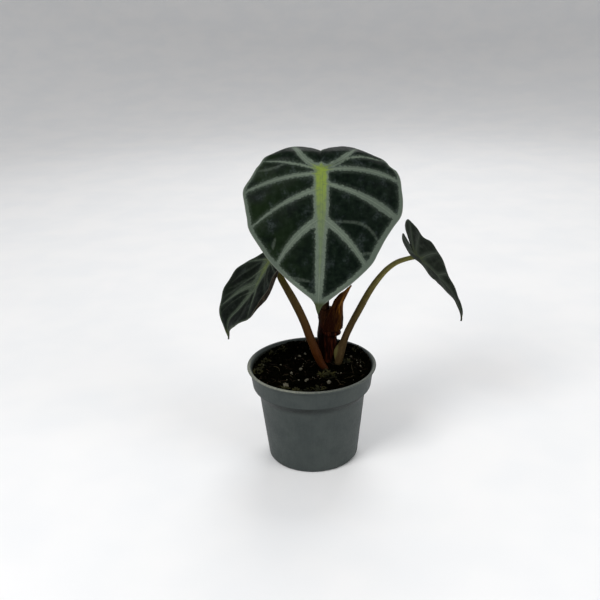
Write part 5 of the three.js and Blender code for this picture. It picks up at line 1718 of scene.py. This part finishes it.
def seat(leaf, depth=SEAT_DEPTH):
    """The stalk's end, just inside the blade under its base."""
    return np.array(leaf["base"]) - blade_frame(leaf)[1] * depth


# For each stalk: its leaf, its points, pairs of (share of the length, radius), the side that faces across,
# the flare at its top, colours as (share of the length, tint), and the tints of its wing and its streaks.
STALKS = {
    "main": dict(
        leaf=MAIN_LEAF, side=FACING_RIGHT, flare=0.5,
        points=[(6.9, 5.2, 63.3), (6.9, 5.2, 71), (6.7, 5.4, 82), (6.5, 6.2, 98), (6.4, 7, 114), (6.3, 6.8, 125),
                (6.1, 4.6, 132.2), seat(MAIN_LEAF, MAIN_BEHIND)],
        radii=[(0, 2), (0.35, 1.9), (1, 1.3)],
        colours=[(0.0, (40, 24, 10)), (0.3, (58, 42, 22)), (0.7, (84, 80, 46)), (1.0, (104, 116, 60))],
        wing_tint=(80, 76, 48), streak_tint=(150, 120, 100),
    ),
    "left": dict(
        leaf=LEFT_LEAF, side=FACING_FRONT, flare=0.3,
        points=[(8.6, -6, 40), (8, -5.4, 42.6), (6.4, -4, 44.6), (4.5, -3.2, 47.2), (2.4, -3, 52.3),
                (-0.4, -3, 60.2), (-2.9, -2.8, 67.8), (-6, -2.3, 75.3), (-10.1, -1, 83.2), (-12.9, 0.5, 88.3),
                (-14.2, 1.5, 92.6), (-15.4, 1.3, 96)],
        radii=[(0, 1), (0.06, 1.2), (0.12, 1.6), (0.22, 2), (0.4, 1.95), (0.7, 1.8), (0.85, 1.5), (1, 1.2)],
        colours=[(0.0, (46, 22, 4)), (0.1, (54, 25, 6)), (0.24, (64, 34, 12)), (0.42, (64, 42, 18)),
                 (0.6, (72, 56, 28)), (0.76, (92, 80, 46)), (0.88, (104, 98, 42)), (1.0, (100, 104, 36))],
        wing_tint=(80, 76, 48), streak_tint=(150, 118, 96),
    ),
    "right": dict(
        leaf=RIGHT_LEAF, side=-FACING_RIGHT, flare=0.2, wing=dict(width=1.5, at=0.17, spread=0.05, sharp=3),
        points=[(12, -0.2, 38), (12.3, 0.2, 44.2), (13.1, 1.2, 47.5), (14.4, 2.6, 52.4), (16.4, 2.6, 58.8),
                (19.2, 2, 65.3), (23.1, 1.5, 73.2), (26.4, 1, 79.7), (30.3, 0.5, 86), (34.7, 0, 91.3),
                (38.9, 0, 94.3), (43, 0.3, 95.6)],
        radii=[(0, 1.0), (0.06, 1.15), (0.11, 1.6), (0.16, 1.8), (0.3, 1.6), (0.5, 1.6), (1, 1.0)],
        colours=[(0.0, (40, 32, 14)), (0.1, (58, 46, 26)), (0.3, (72, 58, 36)), (0.55, (86, 76, 42)),
                 (0.75, (112, 106, 60)), (0.88, (124, 120, 70)), (1.0, (104, 108, 56))],
        wing_tint=(84, 80, 46), streak_tint=(150, 126, 104),
    ),
}
for side, it in STALKS.items():
    piece = stalk(
        f"stalk_{side}", [*it["points"], seat(it["leaf"])], it["radii"], it["side"], blade_frame(it["leaf"])[1],
        it.get("wing"), it["flare"],
    )
    skin = stalk_material(f"{side} stalk", it["colours"], it["wing_tint"], it["streak_tint"])
    dress(piece, f"petiole_{side}", "petiole", skin)

# %% [markdown]
# ## A drop of water
# One clear drop hangs at the right of the stem. A fluid simulation would be far too much for it: it is a
# small ball, flattened a little against the sheath, with a clear finish that bends light as water does.

# %% Water drop
DROP_MIDDLE, DROP_RADII = np.array([14.5, 4.0, 63.7]), np.array([0.5, 0.55, 0.65])
drop = looped("water_drop", DROP_MIDDLE + ball_points(17, 32) * DROP_RADII)
tree = blank("water")
haze = use_group(tree, GRAIN, Vector=millimetres(tree), Scale=1.0)
clear = blend(tree, haze["Clouds"], (0.95, 0.97, 1.0, 1), (1, 1, 1, 1))
water = finish("water", clear, 0.03, sockets={"Transmission Weight": 1.0, "IOR": 1.33})
dress(drop, None, "old_sheath", water)
